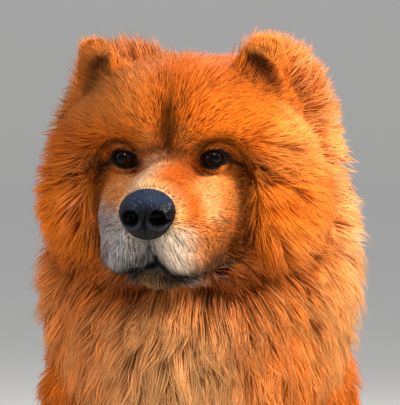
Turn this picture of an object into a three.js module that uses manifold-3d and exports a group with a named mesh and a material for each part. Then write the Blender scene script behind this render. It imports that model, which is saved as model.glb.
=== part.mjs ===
// A chow chow standing square with its head turned a little, life size, in millimetres.
// +Z is up and the animal faces -Y, so +X is its left side. The solids reach the tips of the coat.
import * as THREE from "three";
import Module from "manifold-3d";
import { mergeVertices } from "three/addons/utils/BufferGeometryUtils.js";

const wasm = await Module();
wasm.setup();

// Driving dimensions
const EYE_MIDDLE = [-27, -210, 580]; // halfway between the eyes, from the floor under the withers
const HEAD_YAW = THREE.MathUtils.degToRad(-14.5); // turned to the animal's right
const HEAD_PITCH = THREE.MathUtils.degToRad(6); // nose down
const EYE_SPACING = 84;
const EYE_RADIUS = 11;
const MUZZLE_HALF_WIDTH = 55;
const RUFF_HALF_WIDTH = 168;
const CHEST_HALF_WIDTH = 148;
const BACK_HEIGHT = 540;
const FORE_STANCE = 86; // from the midline to each forefoot
const HIND_STANCE = 88;
const FORE_STEP = 8; // how far each foot stands before or behind its pair's middle
const HIND_STEP = 12;
const GAP = 0.3; // clearance at every parting cut
const SOLE = 1.5; // how much of each round pad the floor flattens
const TOES = [[-24, 8], [-8.5, 0], [8.5, 0], [24, 8]]; // each toe's place across and behind the foremost

// Fields: functions of x, y, z that are negative inside a form and grow outwards as a distance
function ellipsoid([cx, cy, cz], [rx, ry, rz]) {
  return (x, y, z) => {
    const [a, b, c] = [(x - cx) / rx, (y - cy) / ry, (z - cz) / rz];
    const scaled = Math.hypot(a, b, c);
    const slope = Math.hypot(a / rx, b / ry, c / rz);
    return slope < 1e-9 ? -Math.min(rx, ry, rz) : (scaled * (scaled - 1)) / slope;
  };
}

// A rod with round ends whose radius changes evenly from one end to the other.
function taper([ax, ay, az], [bx, by, bz], startRadius, endRadius) {
  const [ux, uy, uz] = [bx - ax, by - ay, bz - az];
  const square = ux * ux + uy * uy + uz * uz;
  return (x, y, z) => {
    const along = ((x - ax) * ux + (y - ay) * uy + (z - az) * uz) / square;
    const t = Math.min(1, Math.max(0, along));
    const off = Math.hypot(x - ax - t * ux, y - ay - t * uy, z - az - t * uz);
    return off - startRadius - t * (endRadius - startRadius);
  };
}

const bothSides = (field) => (x, y, z) => field(Math.abs(x), y, z);

// Joins fields with a fillet that is about as wide as soft.
function melt(soft, ...fields) {
  return (x, y, z) =>
    fields.reduce((whole, field) => {
      const part = field(x, y, z);
      const near = Math.max(soft - Math.abs(whole - part), 0) / soft;
      return Math.min(whole, part) - (near * near * soft) / 4;
    }, 1e6);
}

// Presses a form into another with a rounded edge.
function press(soft, body, dent) {
  return (x, y, z) => {
    const [whole, hole] = [body(x, y, z), -dent(x, y, z)];
    const near = Math.max(soft - Math.abs(whole - hole), 0) / soft;
    return Math.max(whole, hole) + (near * near * soft) / 4;
  };
}

// The head's own frame has its origin between the eyes and looks along -Y.
const headTurn = new THREE.Euler(HEAD_PITCH, 0, HEAD_YAW, "ZYX");
const headMatrix = new THREE.Matrix4().makeRotationFromEuler(headTurn).setPosition(...EYE_MIDDLE);
const toHead = headMatrix.clone().invert();

function inHead(field) {
  const point = new THREE.Vector3();
  return (x, y, z) => {
    point.set(x, y, z).applyMatrix4(toHead);
    return field(point.x, point.y, point.z);
  };
}

function headForm() {
  const eye = EYE_SPACING / 2;
  const skull = ellipsoid([0, 64, 18], [100, 84, 76]);
  const forehead = bothSides(ellipsoid([31, 18, 40], [40, 34, 36]));
  const brow = bothSides(ellipsoid([eye + 4, 5, 27], [28, 17, 13]));
  const temple = bothSides(ellipsoid([72, 36, 12], [44, 44, 44]));
  const cheek = bothSides(ellipsoid([84, 44, -36], [50, 56, 66]));
  const underEye = bothSides(taper([52, 18, -38], [30, -34, -46], 28, 27));
  const bridge = taper([0, 12, -28], [0, -58, -35], 33, 28);
  const flews = bothSides(ellipsoid([MUZZLE_HALF_WIDTH - 33, -38, -56], [33, 46, 41]));
  const lips = bothSides(ellipsoid([MUZZLE_HALF_WIDTH - 25, -37, -78], [25, 40, 22]));
  const muzzleRoot = bothSides(taper([34, 14, -54], [24, -30, -56], 33, 32));
  const chin = ellipsoid([0, -31, -96], [28, 32, 19]);
  const jaw = bothSides(taper([44, 24, -88], [16, -30, -94], 22, 16));
  const throat = ellipsoid([0, 58, -78], [78, 50, 40]);
  const face = melt(24, skull, forehead, brow, temple, cheek, throat);
  const front = melt(12, bridge, flews, lips, muzzleRoot, underEye, melt(8, chin, jaw));
  return melt(13, face, front);
}

// The ruff stands round the head from the nape to the chest.
function ruffForm() {
  const ruff = ellipsoid([0, -98, 474], [RUFF_HALF_WIDTH, 92, 150]);
  const nape = bothSides(ellipsoid([64, -70, 596], [80, 60, 112]));
  const crest = ellipsoid([0, -38, 572], [104, 84, 92]);
  const mane = ellipsoid([0, -34, 520], [124, 116, 112]);
  const bib = ellipsoid([0, -142, 424], [112, 76, 108]);
  return melt(46, ruff, nape, crest, mane, bib);
}

function bodyForm() {
  const chest = ellipsoid([0, -60, 368], [CHEST_HALF_WIDTH, 116, 130]);
  const withers = ellipsoid([0, 0, BACK_HEIGHT - 118], [120, 120, 122]);
  const ribs = ellipsoid([0, 78, BACK_HEIGHT - 162], [152, 205, 160]);
  const loin = ellipsoid([0, 186, BACK_HEIGHT - 142], [136, 140, 140]);
  const rump = ellipsoid([0, 264, BACK_HEIGHT - 144], [136, 112, 138]);
  return melt(46, chest, withers, ribs, loin, rump);
}

// Joint centres of each leg from the body down to the toes. side is 1 for the left.
function foreLeg(side) {
  const step = side * FORE_STEP;
  const x = side * FORE_STANCE;
  return {
    shoulder: [side * 96, -52, 338],
    elbow: [side * 94, 14 + step / 2, 262],
    wrist: [x, 2 + step, 96],
    toes: [x, -20 + step, 30],
  };
}

function hindLeg(side) {
  const step = side * -HIND_STEP;
  const x = side * HIND_STANCE;
  return {
    hip: [side * 94, 262, 366],
    stifle: [side * 98, 218 + step, 262],
    hock: [x, 318 + step, 150],
    heel: [x, 314 + step, 62],
    toes: [x, 292 + step, 28],
  };
}

function pawForm([x, y, z]) {
  const pad = ellipsoid([x, y + 2, z - 1], [37, 46, z + SOLE - 1]);
  const toes = TOES.map(([across, back]) =>
    ellipsoid([x + across, y - 30 + back, z - 8], [12.5, 19, z + SOLE - 8]),
  );
  return melt(7, pad, ...toes);
}

function foreLegForm(side) {
  const { shoulder, elbow, wrist, toes } = foreLeg(side);
  const upper = taper(shoulder, elbow, 68, 54);
  const forearm = taper(elbow, wrist, 50, 41);
  const pastern = taper(wrist, toes, 41, 35);
  const feather = taper([elbow[0], elbow[1] + 24, elbow[2] - 22], [wrist[0], wrist[1] + 20, 112], 36, 24);
  return melt(16, melt(22, upper, forearm, feather), pastern, pawForm(toes));
}

function hindLegForm(side) {
  const { hip, stifle, hock, heel, toes } = hindLeg(side);
  const thigh = taper(hip, stifle, 84, 66);
  const gaskin = taper(stifle, hock, 62, 42);
  const breeches = taper([side * 84, 316, 338], [hock[0], hock[1] + 8, 206], 62, 40);
  const rearPastern = taper(hock, heel, 41, 37);
  const instep = taper(heel, toes, 37, 32);
  return melt(16, melt(26, thigh, gaskin, breeches), rearPastern, instep, pawForm(toes));
}

// Stations along the tail's midline: its place, its half-width and its half-depth.
const TAIL = [
  { at: [0, 300, 478], wide: 54, deep: 46 },
  { at: [0, 334, 528], wide: 64, deep: 54 },
  { at: [2, 326, 576], wide: 74, deep: 56 },
  { at: [8, 272, 596], wide: 84, deep: 54 },
  { at: [16, 208, 584], wide: 86, deep: 50 },
  { at: [24, 150, 570], wide: 72, deep: 42 },
  { at: [30, 96, 558], wide: 40, deep: 26 },
];

// The ear stands on its own base, its flat side square to the way it faces.
const EAR = { base: [66, 50, 52], tip: [80, 42, 89], face: 18, baseRadius: 37, tipRadius: 21 };
const EAR_RISE = EAR.tip.map((value, i) => value - EAR.base[i]);
const EAR_FLATNESS = 0.55;

function earMatrix(side) {
  const up = new THREE.Vector3(side * EAR_RISE[0], EAR_RISE[1], EAR_RISE[2]);
  const forward = new THREE.Vector3(0, -1, 0).applyAxisAngle(
    new THREE.Vector3(0, 0, 1),
    THREE.MathUtils.degToRad(side * EAR.face),
  );
  const across = new THREE.Vector3().crossVectors(up, forward).normalize();
  const front = new THREE.Vector3().crossVectors(across, up).normalize();
  return new THREE.Matrix4()
    .makeBasis(across, front.clone().multiplyScalar(-1), up.clone().normalize())
    .setPosition(side * EAR.base[0], EAR.base[1], EAR.base[2])
    .premultiply(headMatrix);
}

function earForm(side) {
  const toEar = earMatrix(side).invert();
  const height = Math.hypot(...EAR_RISE);
  const leaf = taper([0, 0, -6], [0, 0, height], EAR.baseRadius, EAR.tipRadius);
  const shell = (x, y, z) => leaf(x, y / EAR_FLATNESS, z) * EAR_FLATNESS;
  const opening = ellipsoid([0, -21, height * 0.62], [20, 15, height * 0.72]);
  const cupped = press(4, shell, opening);
  const point = new THREE.Vector3();
  return (x, y, z) => {
    point.set(x, y, z).applyMatrix4(toEar);
    return cupped(point.x, point.y, point.z);
  };
}

function noseForm() {
  const bulb = ellipsoid([0, -79, -35], [23, 15, 17]);
  const wings = bothSides(ellipsoid([13, -80, -38], [11, 14, 13]));
  const base = ellipsoid([0, -83, -49], [12, 10, 11]);
  const nostrils = bothSides(ellipsoid([12, -97, -40], [6, 8, 5]));
  return press(3, melt(7, bulb, wings, base), nostrils);
}

// Solids
function solidOf(geometry) {
  const bare = geometry.index ? geometry.toNonIndexed() : geometry.clone();
  bare.deleteAttribute("normal");
  bare.deleteAttribute("uv");
  const merged = mergeVertices(bare, 1e-3);
  const vertProperties = merged.attributes.position.array;
  const triVerts = new Uint32Array(merged.index.array);
  return new wasm.Manifold(new wasm.Mesh({ numProp: 3, vertProperties, triVerts }));
}

function geometryOf(solid) {
  const { numProp, vertProperties, triVerts } = solid.getMesh();
  const positions = new Float32Array((vertProperties.length / numProp) * 3);
  for (let i = 0; i * 3 < positions.length; i++)
    positions.set(vertProperties.subarray(i * numProp, i * numProp + 3), i * 3);
  const geometry = new THREE.BufferGeometry()
    .setAttribute("position", new THREE.BufferAttribute(positions, 3))
    .setIndex(new THREE.BufferAttribute(new Uint32Array(triVerts), 1));
  geometry.computeVertexNormals();
  return geometry;
}

// The same solid with each corner moved out far enough that all its faces move out by that much.
function grown(solid, by = 1.5 * GAP) {
  const geometry = geometryOf(solid);
  const places = geometry.attributes.position;
  const index = geometry.index.array;
  const faces = Array.from({ length: places.count }, () => []);
  const [a, b, c] = [new THREE.Vector3(), new THREE.Vector3(), new THREE.Vector3()];
  for (let i = 0; i < index.length; i += 3) {
    [a, b, c].forEach((corner, j) => corner.fromBufferAttribute(places, index[i + j]));
    const normal = new THREE.Triangle(a, b, c).getNormal(new THREE.Vector3());
    for (const corner of [index[i], index[i + 1], index[i + 2]])
      if (!faces[corner].some((other) => other.dot(normal) > 0.995)) faces[corner].push(normal);
  }
  faces.forEach((normals, i) => {
    const out = normals.reduce((sum, normal) => sum.add(normal), new THREE.Vector3()).normalize();
    const least = Math.min(...normals.map((normal) => normal.dot(out)));
    out.multiplyScalar(by / Math.max(0.3, least));
    places.setXYZ(i, places.getX(i) + out.x, places.getY(i) + out.y, places.getZ(i) + out.z);
  });
  const mesh = { numProp: 3, vertProperties: places.array, triVerts: index };
  return new wasm.Manifold(new wasm.Mesh(mesh));
}

// Steps outwards from a point inside a field to where it ends.
function surfaceAlong(field, start, direction, reach) {
  const stride = 4;
  let [inner, outer] = [0, 0];
  const value = (t) => field(start.x + direction.x * t, start.y + direction.y * t, start.z + direction.z * t);
  while (outer < reach && value(outer) < 0) {
    inner = outer;
    outer += stride;
  }
  for (let i = 0; i < 12; i++) {
    const middle = (inner + outer) / 2;
    if (value(middle) < 0) inner = middle;
    else outer = middle;
  }
  return (inner + outer) / 2;
}

// Draws a capsule's vertices out from a spine until they lie on a field's surface. With an axis
// the rings stay square to it, and without one they turn with the spine.
function wrap(field, spinePoints, { sides, rings, caps, axis, reach = 400 }) {
  const spine = new THREE.CatmullRomCurve3(spinePoints.map((p) => new THREE.Vector3(...p)));
  const capsule = new THREE.CapsuleGeometry(1, 2, caps, sides, rings).toNonIndexed();
  capsule.deleteAttribute("normal");
  capsule.deleteAttribute("uv");
  const geometry = mergeVertices(capsule, 1e-4);
  const places = geometry.attributes.position;
  const [direction, across] = [new THREE.Vector3(), new THREE.Vector3()];
  for (let i = 0; i < places.count; i++) {
    const height = places.getY(i);
    const onAxis = Math.min(1, Math.max(-1, height));
    const t = (onAxis + 1) / 2;
    const start = spine.getPointAt(t);
    const along = axis ? new THREE.Vector3(...axis) : spine.getTangentAt(t);
    across.set(1, 0, 0).addScaledVector(along, -along.x).normalize();
    const lift = new THREE.Vector3().crossVectors(across, along);
    direction
      .set(0, 0, 0)
      .addScaledVector(across, places.getX(i))
      .addScaledVector(along, height - onAxis)
      .addScaledVector(lift, places.getZ(i))
      .normalize();
    start.addScaledVector(direction, surfaceAlong(field, start, direction, reach));
    places.setXYZ(i, start.x, start.y, start.z);
  }
  const solid = solidOf(geometry);
  return solid.volume() < 0 ? solidOf(flipped(geometry)) : solid;
}

function flipped(geometry) {
  const index = geometry.index.array;
  for (let i = 0; i < index.length; i += 3) [index[i + 1], index[i + 2]] = [index[i + 2], index[i + 1]];
  return geometry;
}

function block([x0, y0, z0], [x1, y1, z1]) {
  const geometry = new THREE.BoxGeometry(x1 - x0, y1 - y0, z1 - z0);
  return solidOf(geometry.translate((x0 + x1) / 2, (y0 + y1) / 2, (z0 + z1) / 2));
}

const level = (low, high) => block([-900, -900, low + GAP / 2], [900, 900, high - GAP / 2]);

// A block in the head's own frame.
function headBlock(low, high) {
  return solidOf(geometryOf(block(low, high)).applyMatrix4(headMatrix));
}

const headForward = new THREE.Vector3(0, -1, 0).transformDirection(headMatrix).toArray();
const inHeadFrame = ([x, y, z]) => new THREE.Vector3(x, y, z).applyMatrix4(headMatrix).toArray();
const without = (solid, ...parts) => parts.reduce((left, part) => left.subtract(grown(part)), solid);
const biggest = (solid) => solid.decompose().reduce((a, b) => (b.volume() > a.volume() ? b : a));

const FACE_LINE = -14; // the muzzle parts from the face here, before the eyes
const MOUTH_LINE = -86; // and the jaw from the muzzle here, below the eyes
const FORE_JOINTS = [152, 62]; // heights of the cuts at elbow and wrist
const HIND_JOINTS = [154, 58];

const colours = {
  coat: new THREE.MeshStandardMaterial({ color: 0xc8752c, roughness: 0.9, metalness: 0 }),
  paleCoat: new THREE.MeshStandardMaterial({ color: 0xd9a06a, roughness: 0.9, metalness: 0 }),
  muzzleCoat: new THREE.MeshStandardMaterial({ color: 0xd9b48c, roughness: 0.85, metalness: 0 }),
  nose: new THREE.MeshStandardMaterial({ color: 0x1b1c22, roughness: 0.35, metalness: 0 }),
  eye: new THREE.MeshStandardMaterial({ color: 0x1a0e08, roughness: 0.05, metalness: 0 }),
  claw: new THREE.MeshStandardMaterial({ color: 0x2a221c, roughness: 0.4, metalness: 0 }),
};

const animal = new THREE.Group();

function add(name, solid, material) {
  const mesh = new THREE.Mesh(geometryOf(biggest(solid.simplify(GAP / 3))), material);
  mesh.name = name;
  animal.add(mesh);
}

const sideName = (side) => (side > 0 ? "left" : "right");

function makeHead() {
  const form = inHead(headForm());
  const skullSpine = [[0, 70, 0], [0, 45, -6], [0, 16, -20]].map(inHeadFrame);
  const whole = wrap(form, skullSpine, { sides: 24, rings: 2, caps: 7, axis: headForward });
  const snoutSpine = [[0, 0, -46], [0, -42, -58]].map(inHeadFrame);
  const snout = wrap(form, snoutSpine, { sides: 18, rings: 3, caps: 4, axis: headForward });
  const noseSpine = [[0, -74, -36], [0, -84, -40]].map(inHeadFrame);
  const nose = wrap(inHead(noseForm()), noseSpine, { sides: 14, rings: 1, caps: 4 });
  const eyes = [1, -1].map((side) => {
    const ball = new THREE.SphereGeometry(EYE_RADIUS, 10, 7);
    return solidOf(ball.translate(...inHeadFrame([(side * EYE_SPACING) / 2, 1, 0])));
  });
  const ears = [1, -1].map((side) => {
    const matrix = earMatrix(side);
    const earSpine = [-8, 14, 36].map((z) => new THREE.Vector3(0, 3, z).applyMatrix4(matrix).toArray());
    return wrap(earForm(side), earSpine, { sides: 12, rings: 3, caps: 3 });
  });
  const front = headBlock([-80, -160, MOUTH_LINE + GAP / 2], [80, FACE_LINE, 4]);
  const below = headBlock([-80, -160, -160], [80, FACE_LINE, MOUTH_LINE - GAP / 2]);
  const muzzle = biggest(snout.intersect(front));
  const jaw = biggest(snout.intersect(below));
  const skull = whole.subtract(headBlock([-80, -160, -160], [80, FACE_LINE + GAP, 4 + GAP]));
  const sockets = [1, -1].map((side) => {
    const hollow = new THREE.SphereGeometry(1, 10, 5).scale(17, 18, 11);
    hollow.translate(side * (EYE_SPACING / 2 + 2), -17, -1);
    return solidOf(hollow.applyMatrix4(headMatrix));
  });
  const openFace = sockets.reduce((left, socket) => left.subtract(socket), skull);
  add("head", without(openFace, ...eyes, ...ears), colours.coat);
  const openMuzzle = sockets.reduce((left, socket) => left.subtract(socket), muzzle);
  add("muzzle", without(openMuzzle, nose), colours.muzzleCoat);
  add("lower_jaw", jaw, colours.muzzleCoat);
  add("nose", nose, colours.nose);
  [1, -1].forEach((side, i) => {
    add(`eye_${sideName(side)}`, eyes[i], colours.eye);
    add(`ear_${sideName(side)}`, ears[i], colours.coat);
  });
  return [whole, snout, ...ears];
}

function makeNeck(headParts) {
  const spine = [[0, -104, 430], [0, -84, 490], [0, -66, 556], [0, -62, 600]];
  const shape = wrap(ruffForm(), spine, { sides: 20, rings: 5, caps: 4, axis: [0, 0, 1] });
  add("neck", without(shape, ...headParts), colours.coat);
  return shape;
}

function makeLeg(side, kind, ruff) {
  const fore = kind === "fore";
  const joints = fore ? foreLeg(side) : hindLeg(side);
  const { toes } = joints;
  const foot = [toes[0], toes[1] + 4, 26];
  const line = fore
    ? [joints.shoulder, joints.elbow, joints.wrist, foot]
    : [joints.hip, [side * 97, 250, 280], [side * 92, 290, 180], joints.heel, foot];
  const form = fore ? foreLegForm(side) : hindLegForm(side);
  const shape = wrap(form, line, { sides: 11, rings: 8, caps: 2, axis: [0, 0, -1] });
  const pawLine = [[toes[0], toes[1] + 6, 26], [toes[0], toes[1] - 18, 22]];
  const footShape = wrap(form, pawLine, { sides: 11, rings: 1, caps: 3, reach: 90 });
  const [knee, ankle] = fore ? FORE_JOINTS : HIND_JOINTS;
  const [upper, lower, paw] = fore
    ? ["foreleg_upper", "foreleg_lower", "forepaw"]
    : ["hindleg_thigh", "hindleg_hock", "hindpaw"];
  add(`${upper}_${sideName(side)}`, without(shape.intersect(level(knee, 600)), ruff), colours.coat);
  add(`${lower}_${sideName(side)}`, shape.intersect(level(ankle, knee)), colours.coat);
  const claws = TOES.map(([across, back]) => claw([toes[0] + across, toes[1] - 44 + back, 15]));
  const sole = footShape.intersect(level(-GAP / 2, ankle));
  add(`${paw}_${sideName(side)}`, without(sole, ...claws), colours.paleCoat);
  claws.forEach((solid, i) => add(`${kind}_claw_${sideName(side)}_${i + 1}`, solid, colours.claw));
  return shape;
}

// A claw points forward and down from its root inside the toe.
function claw([x, y, z]) {
  const beads = [[0, 3, 3.4], [-12, -6, 1.2]].map(([forward, up, radius]) => {
    const bead = new THREE.SphereGeometry(radius, 6, 3);
    return solidOf(bead.translate(x, y + forward, z + up));
  });
  return wasm.Manifold.hull(beads);
}

function makeTail() {
  const beads = TAIL.map(({ at, wide, deep }) => {
    const bead = new THREE.SphereGeometry(1, 10, 5).rotateX(Math.PI / 2).scale(wide, deep, deep);
    return solidOf(bead.translate(...at));
  });
  const length = (first, last) =>
    beads
      .slice(first, last)
      .map((bead, i) => wasm.Manifold.hull([bead, beads[first + i + 1]]))
      .reduce((all, part) => all.add(part));
  return { root: length(0, 2), curl: length(2, 4), tip: length(4, 6) };
}

const headParts = makeHead();
const neck = makeNeck(headParts);
const legs = [1, -1].flatMap((side) => [makeLeg(side, "fore", neck), makeLeg(side, "hind", neck)]);
const trunkSpine = [[0, -60, 384], [0, 60, 385], [0, 190, 395], [0, 256, 398]];
const body = wrap(bodyForm(), trunkSpine, { sides: 16, rings: 5, caps: 3, axis: [0, 1, 0] });
add("trunk", without(body, neck, ...legs, ...headParts.slice(0, 1)), colours.coat);

const tail = makeTail();
add("tail_root", without(tail.root, body), colours.coat);
add("tail_curl", without(tail.curl, body, tail.root), colours.coat);
add("tail_tip", without(tail.tip, body, neck, tail.curl, tail.root), colours.paleCoat);

// The origin is on the floor, under the middle of the bounding box.
const box = new THREE.Box3().setFromObject(animal);
const middle = box.getCenter(new THREE.Vector3());
animal.position.set(-middle.x, -middle.y, -box.min.z);

export default animal;
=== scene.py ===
# A life-size chow chow, standing. Shapes are worked out in millimetres in the animal's own
# coordinates (the floor under the withers is 0, 0, 0) and put into the frame in metres.
import math

import bpy
import numpy as np
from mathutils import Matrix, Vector, kdtree


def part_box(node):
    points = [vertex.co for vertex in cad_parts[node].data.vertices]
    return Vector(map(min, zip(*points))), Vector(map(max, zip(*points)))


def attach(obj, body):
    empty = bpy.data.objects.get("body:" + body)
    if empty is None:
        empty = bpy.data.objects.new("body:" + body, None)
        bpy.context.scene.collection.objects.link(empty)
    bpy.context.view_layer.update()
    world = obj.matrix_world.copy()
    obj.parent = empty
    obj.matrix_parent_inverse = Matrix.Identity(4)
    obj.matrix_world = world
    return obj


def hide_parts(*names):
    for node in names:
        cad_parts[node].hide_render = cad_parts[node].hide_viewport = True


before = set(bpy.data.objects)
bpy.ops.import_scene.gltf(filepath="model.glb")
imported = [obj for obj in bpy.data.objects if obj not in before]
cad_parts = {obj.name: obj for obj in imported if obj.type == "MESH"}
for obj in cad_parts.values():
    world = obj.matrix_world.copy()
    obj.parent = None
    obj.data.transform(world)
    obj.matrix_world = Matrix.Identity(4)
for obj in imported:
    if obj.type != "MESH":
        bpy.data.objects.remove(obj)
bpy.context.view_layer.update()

RANDOM = np.random.default_rng(20240611)

# The head's own frame
EYE_MIDDLE = np.array((-27.0, -210.0, 580.0))
YAW, PITCH = math.radians(-14.5), math.radians(6)
EYE_X, EYE_Y, EYE_RADIUS = 42.0, 1.0, 11.0
EYE = (EYE_X, EYE_Y, 0)
NOSTRIL_X, NOSTRIL_Z = 12.2, -42.5


def turn(pitch, yaw):
    cx, sx, cz, sz = math.cos(pitch), math.sin(pitch), math.cos(yaw), math.sin(yaw)
    about_x = np.array(((1, 0, 0), (0, cx, -sx), (0, sx, cx)))
    about_z = np.array(((cz, -sz, 0), (sz, cz, 0), (0, 0, 1)))
    return about_z @ about_x


HEAD_TURN = turn(PITCH, YAW)


def to_head(p):
    return (p - EYE_MIDDLE.astype(p.dtype)) @ HEAD_TURN.astype(p.dtype)


def from_head(q):
    return q @ HEAD_TURN.T + EYE_MIDDLE


def box_middle(node):
    low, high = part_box(node)
    return (np.array(low) + np.array(high)) / 2


SHIFT = (box_middle("eye_left") + box_middle("eye_right")) / 2
SHIFT -= from_head(np.array((0.0, EYE_Y, 0.0))) / 1000


def to_frame(p):
    return p / 1000 + SHIFT


# Fields
# Each gives a distance for rows of points: negative inside, growing outwards.
def length(v):
    return np.sqrt(np.einsum("...i,...i->...", v, v))


def unit(v, least=1e-6):
    return v / np.maximum(length(v), least)[:, None]


def ball(p, centre, radii, inset=0.0):
    r = np.maximum(np.array(radii, float) - inset, 2.0).astype(p.dtype)
    d = (p - np.array(centre, p.dtype)) / r
    k0, k1 = length(d), length(d / r)
    return k0 * (k0 - 1) / np.maximum(k1, p.dtype.type(1e-6))


def taper(p, a, b, ra, rb, inset=0.0):
    a, u = np.array(a, p.dtype), (np.array(b, float) - np.array(a, float)).astype(p.dtype)
    t = np.clip(((p - a) @ u) / (u @ u), 0, 1)
    ra, rb = max(ra - inset, 2.0), max(rb - inset, 2.0)
    return length(p - a - t[:, None] * u) - ra - t * (rb - ra)


def melt(soft, *parts):
    whole = parts[0]
    for part in parts[1:]:
        near = np.maximum(soft - np.abs(whole - part), 0) / soft
        whole = np.minimum(whole, part) - near * near * soft / 4
    return whole


def press(soft, body, dent):
    near = np.maximum(soft - np.abs(body + dent), 0) / soft
    return np.maximum(body, -dent) + near * near * soft / 4


def mirrored(p):
    m = p.copy()
    m[:, 0] = np.abs(m[:, 0])
    return m


def step(value, low, high):
    t = np.clip((value - low) / (high - low), 0, 1)
    return t * t * (3 - 2 * t)


def bump(value, width):
    return np.exp(-((value / width) ** 2))


def near_line(p, points, width, axes=(0, 2)):
    """How close rows of points are to a line of points, seen along the axis left out."""
    best = np.full(len(p), 1e9)
    flat = p[:, axes]
    for a, b in zip(points[:-1], points[1:]):
        a, u = np.array(a, float), np.array(b, float) - np.array(a, float)
        t = np.clip(((flat - a) @ u) / (u @ u), 0, 1)
        best = np.minimum(best, length(flat - a - t[:, None] * u))
    return bump(best, width)


# k is 0 for the outline of the coat and 1 for the skin beneath it.
def head_form(q, k):
    m = mirrored(q)
    skull = ball(q, (0, 64, 18), (100, 84, 76), 15 * k)
    forehead = ball(m, (31, 18, 40), (40, 34, 36), 9 * k)
    brow = ball(m, (EYE_X + 4, 5, 27), (28, 17, 13), 4 * k)
    temple = ball(m, (72, 36, 12), (44, 44, 44), 14 * k)
    cheek = ball(m, (84, 44, -36), (50, 56, 66), 19 * k)
    under_eye = taper(m, (52, 18, -38), (30, -34, -46), 28, 27, 3.5 * k)
    bridge = taper(q, (0, 12, -28), (0, -58, -35), 33, 28, 2.5 * k)
    flews = ball(m, (22, -38, -56), (33, 46, 41), 3 * k)
    lips = ball(m, (30, -37, -78), (25, 40, 22), 3 * k)
    root = taper(m, (34, 14, -54), (24, -30, -56), 33, 32, 4 * k)
    chin = ball(q, (0, -31, -96), (28, 32, 19), 4 * k)
    jaw = taper(m, (44, 24, -88), (16, -30, -94), 22, 16, 5 * k)
    throat = ball(q, (0, 58, -78), (78, 50, 40), 18 * k)
    face = melt(30 - 6 * k, skull, forehead, brow, temple, cheek, throat)
    front = melt(10, melt(12, bridge, flews, lips, root, under_eye), melt(8, chin, jaw))
    whole = melt(16, face, front)
    if k == 0:
        return whole
    whole = press(10, whole, ball(m, (EYE_X + 2, -19, 2), (16, 12, 10)))
    return face_detail(q, m, whole)


MOUTH = ((0, -84), (8, -86), (18, -95), (31, -100), (44, -97), (54, -89), (64, -78))
LIP_SHIFT = 7.0
LID_BALL, UPPER_LID, LOWER_LID, LID_DEPTH = 13.2, 12.0, 12.2, 9
EYE_LINE = ((54, -2), (62, -6), (78, -10), (102, -15))
BROW_FOLD = ((27, 8), (36, 15), (48, 18), (60, 14), (70, 2), (78, -9), (104, -15))
UNDER_FOLD = ((24, -9), (34, -14.5), (48, -14.5), (62, -8))
MUZZLE_CREASE = ((66, -8), (69, -24), (70, -50), (64, -74))


def face_detail(q, m, whole):
    """Eyelids, brow folds, furrow, lips and the dents round the nose."""
    x, y, z = q.T
    front = step(-y, -34, -14)
    dent = 4.0 * bump(x, 5) * step(z, 6, 24) * step(-z, -84, -60)
    dent += 4.4 * near_line(m, BROW_FOLD, 2.8)
    dent += 0.5 * near_line(m, UNDER_FOLD, 2.0) * front
    dent += 3.0 * near_line(m, EYE_LINE[1:], 2.6) * front
    dent += 12.0 * near_line(m, MUZZLE_CREASE, 7.0) * step(-y, -40, -20)
    lips = step(-y, -16, 6)
    mouth, middle = mouth_place(q)
    dent += 6.0 * near_line(mouth, MOUTH, 2.2) * lips
    dent += 5.0 * near_line(mouth, ((0, -89), (9, -91)), 4.5) * lips
    dent -= 1.6 * near_line(mouth, [(u, v - 5.5) for u, v in MOUTH[1:]], 2.6) * lips
    dent += 3.4 * bump(middle, 1.7) * step(-z, 52, 60) * step(z, -88, -82) * lips
    whole = whole + dent * step(-np.abs(whole), -16, -6)
    lid = length(m - np.array(EYE, m.dtype)) - LID_BALL
    whole = melt(5.0, whole, lid)
    tilt, along, deep = lid_place(m)
    upper = np.sqrt((tilt + 4.4) ** 2 + along**2 + (0.5 * deep) ** 2) - UPPER_LID
    lower = np.sqrt((tilt - 5.2) ** 2 + along**2 + (0.5 * deep) ** 2) - LOWER_LID
    return press(1.0, whole, np.maximum(np.maximum(upper, lower), deep - LID_DEPTH))


def mouth_place(q):
    """Places measured from the middle of the lips, which the turned head carries aside."""
    x, y, z = q.T
    middle = x + LIP_SHIFT * step(-z, 52, 84) * step(-np.abs(x), -52, -24)
    return np.stack((np.abs(middle), y, z), 1), middle


def lid_place(m):
    """Height, breadth and depth from the middle of an eye's opening."""
    x, y, z = m.T
    return z - 0.14 * (x - EYE_X), x - EYE_X + 0.6, y + 14


EAR_BASE, EAR_TIP, EAR_FACE = (66, 50, 52), (80, 42, 89), 18


def ear_frame(side):
    flip = np.array((side, 1, 1))
    up = (np.array(EAR_TIP) - np.array(EAR_BASE)) * flip
    height = float(length(up))
    a = math.radians(side * EAR_FACE)
    forward = np.array((math.sin(a), -math.cos(a), 0))
    across = np.cross(up, forward)
    across /= length(across)
    up = up / height
    front = np.cross(across, up)
    return np.stack((across, -front, up), 1), np.array(EAR_BASE) * flip, height


def to_ear(q, side):
    axes, base, _ = ear_frame(side)
    return (q - base) @ axes


def ear_cup(e, side):
    """Places from the middle of the ear's opening: down its slant, behind, and across it."""
    out, up = e[:, 0] * side - 5, e[:, 2] - 24
    return np.stack((0.74 * out - 0.67 * up, e[:, 1], 0.67 * out + 0.74 * up), 1)


def ear_opening(e, side):
    """One at the edge of the ear's opening and less inside."""
    cup = ear_cup(e, side)
    return np.hypot(cup[:, 0] / 29, cup[:, 2] / 15.5)


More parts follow.
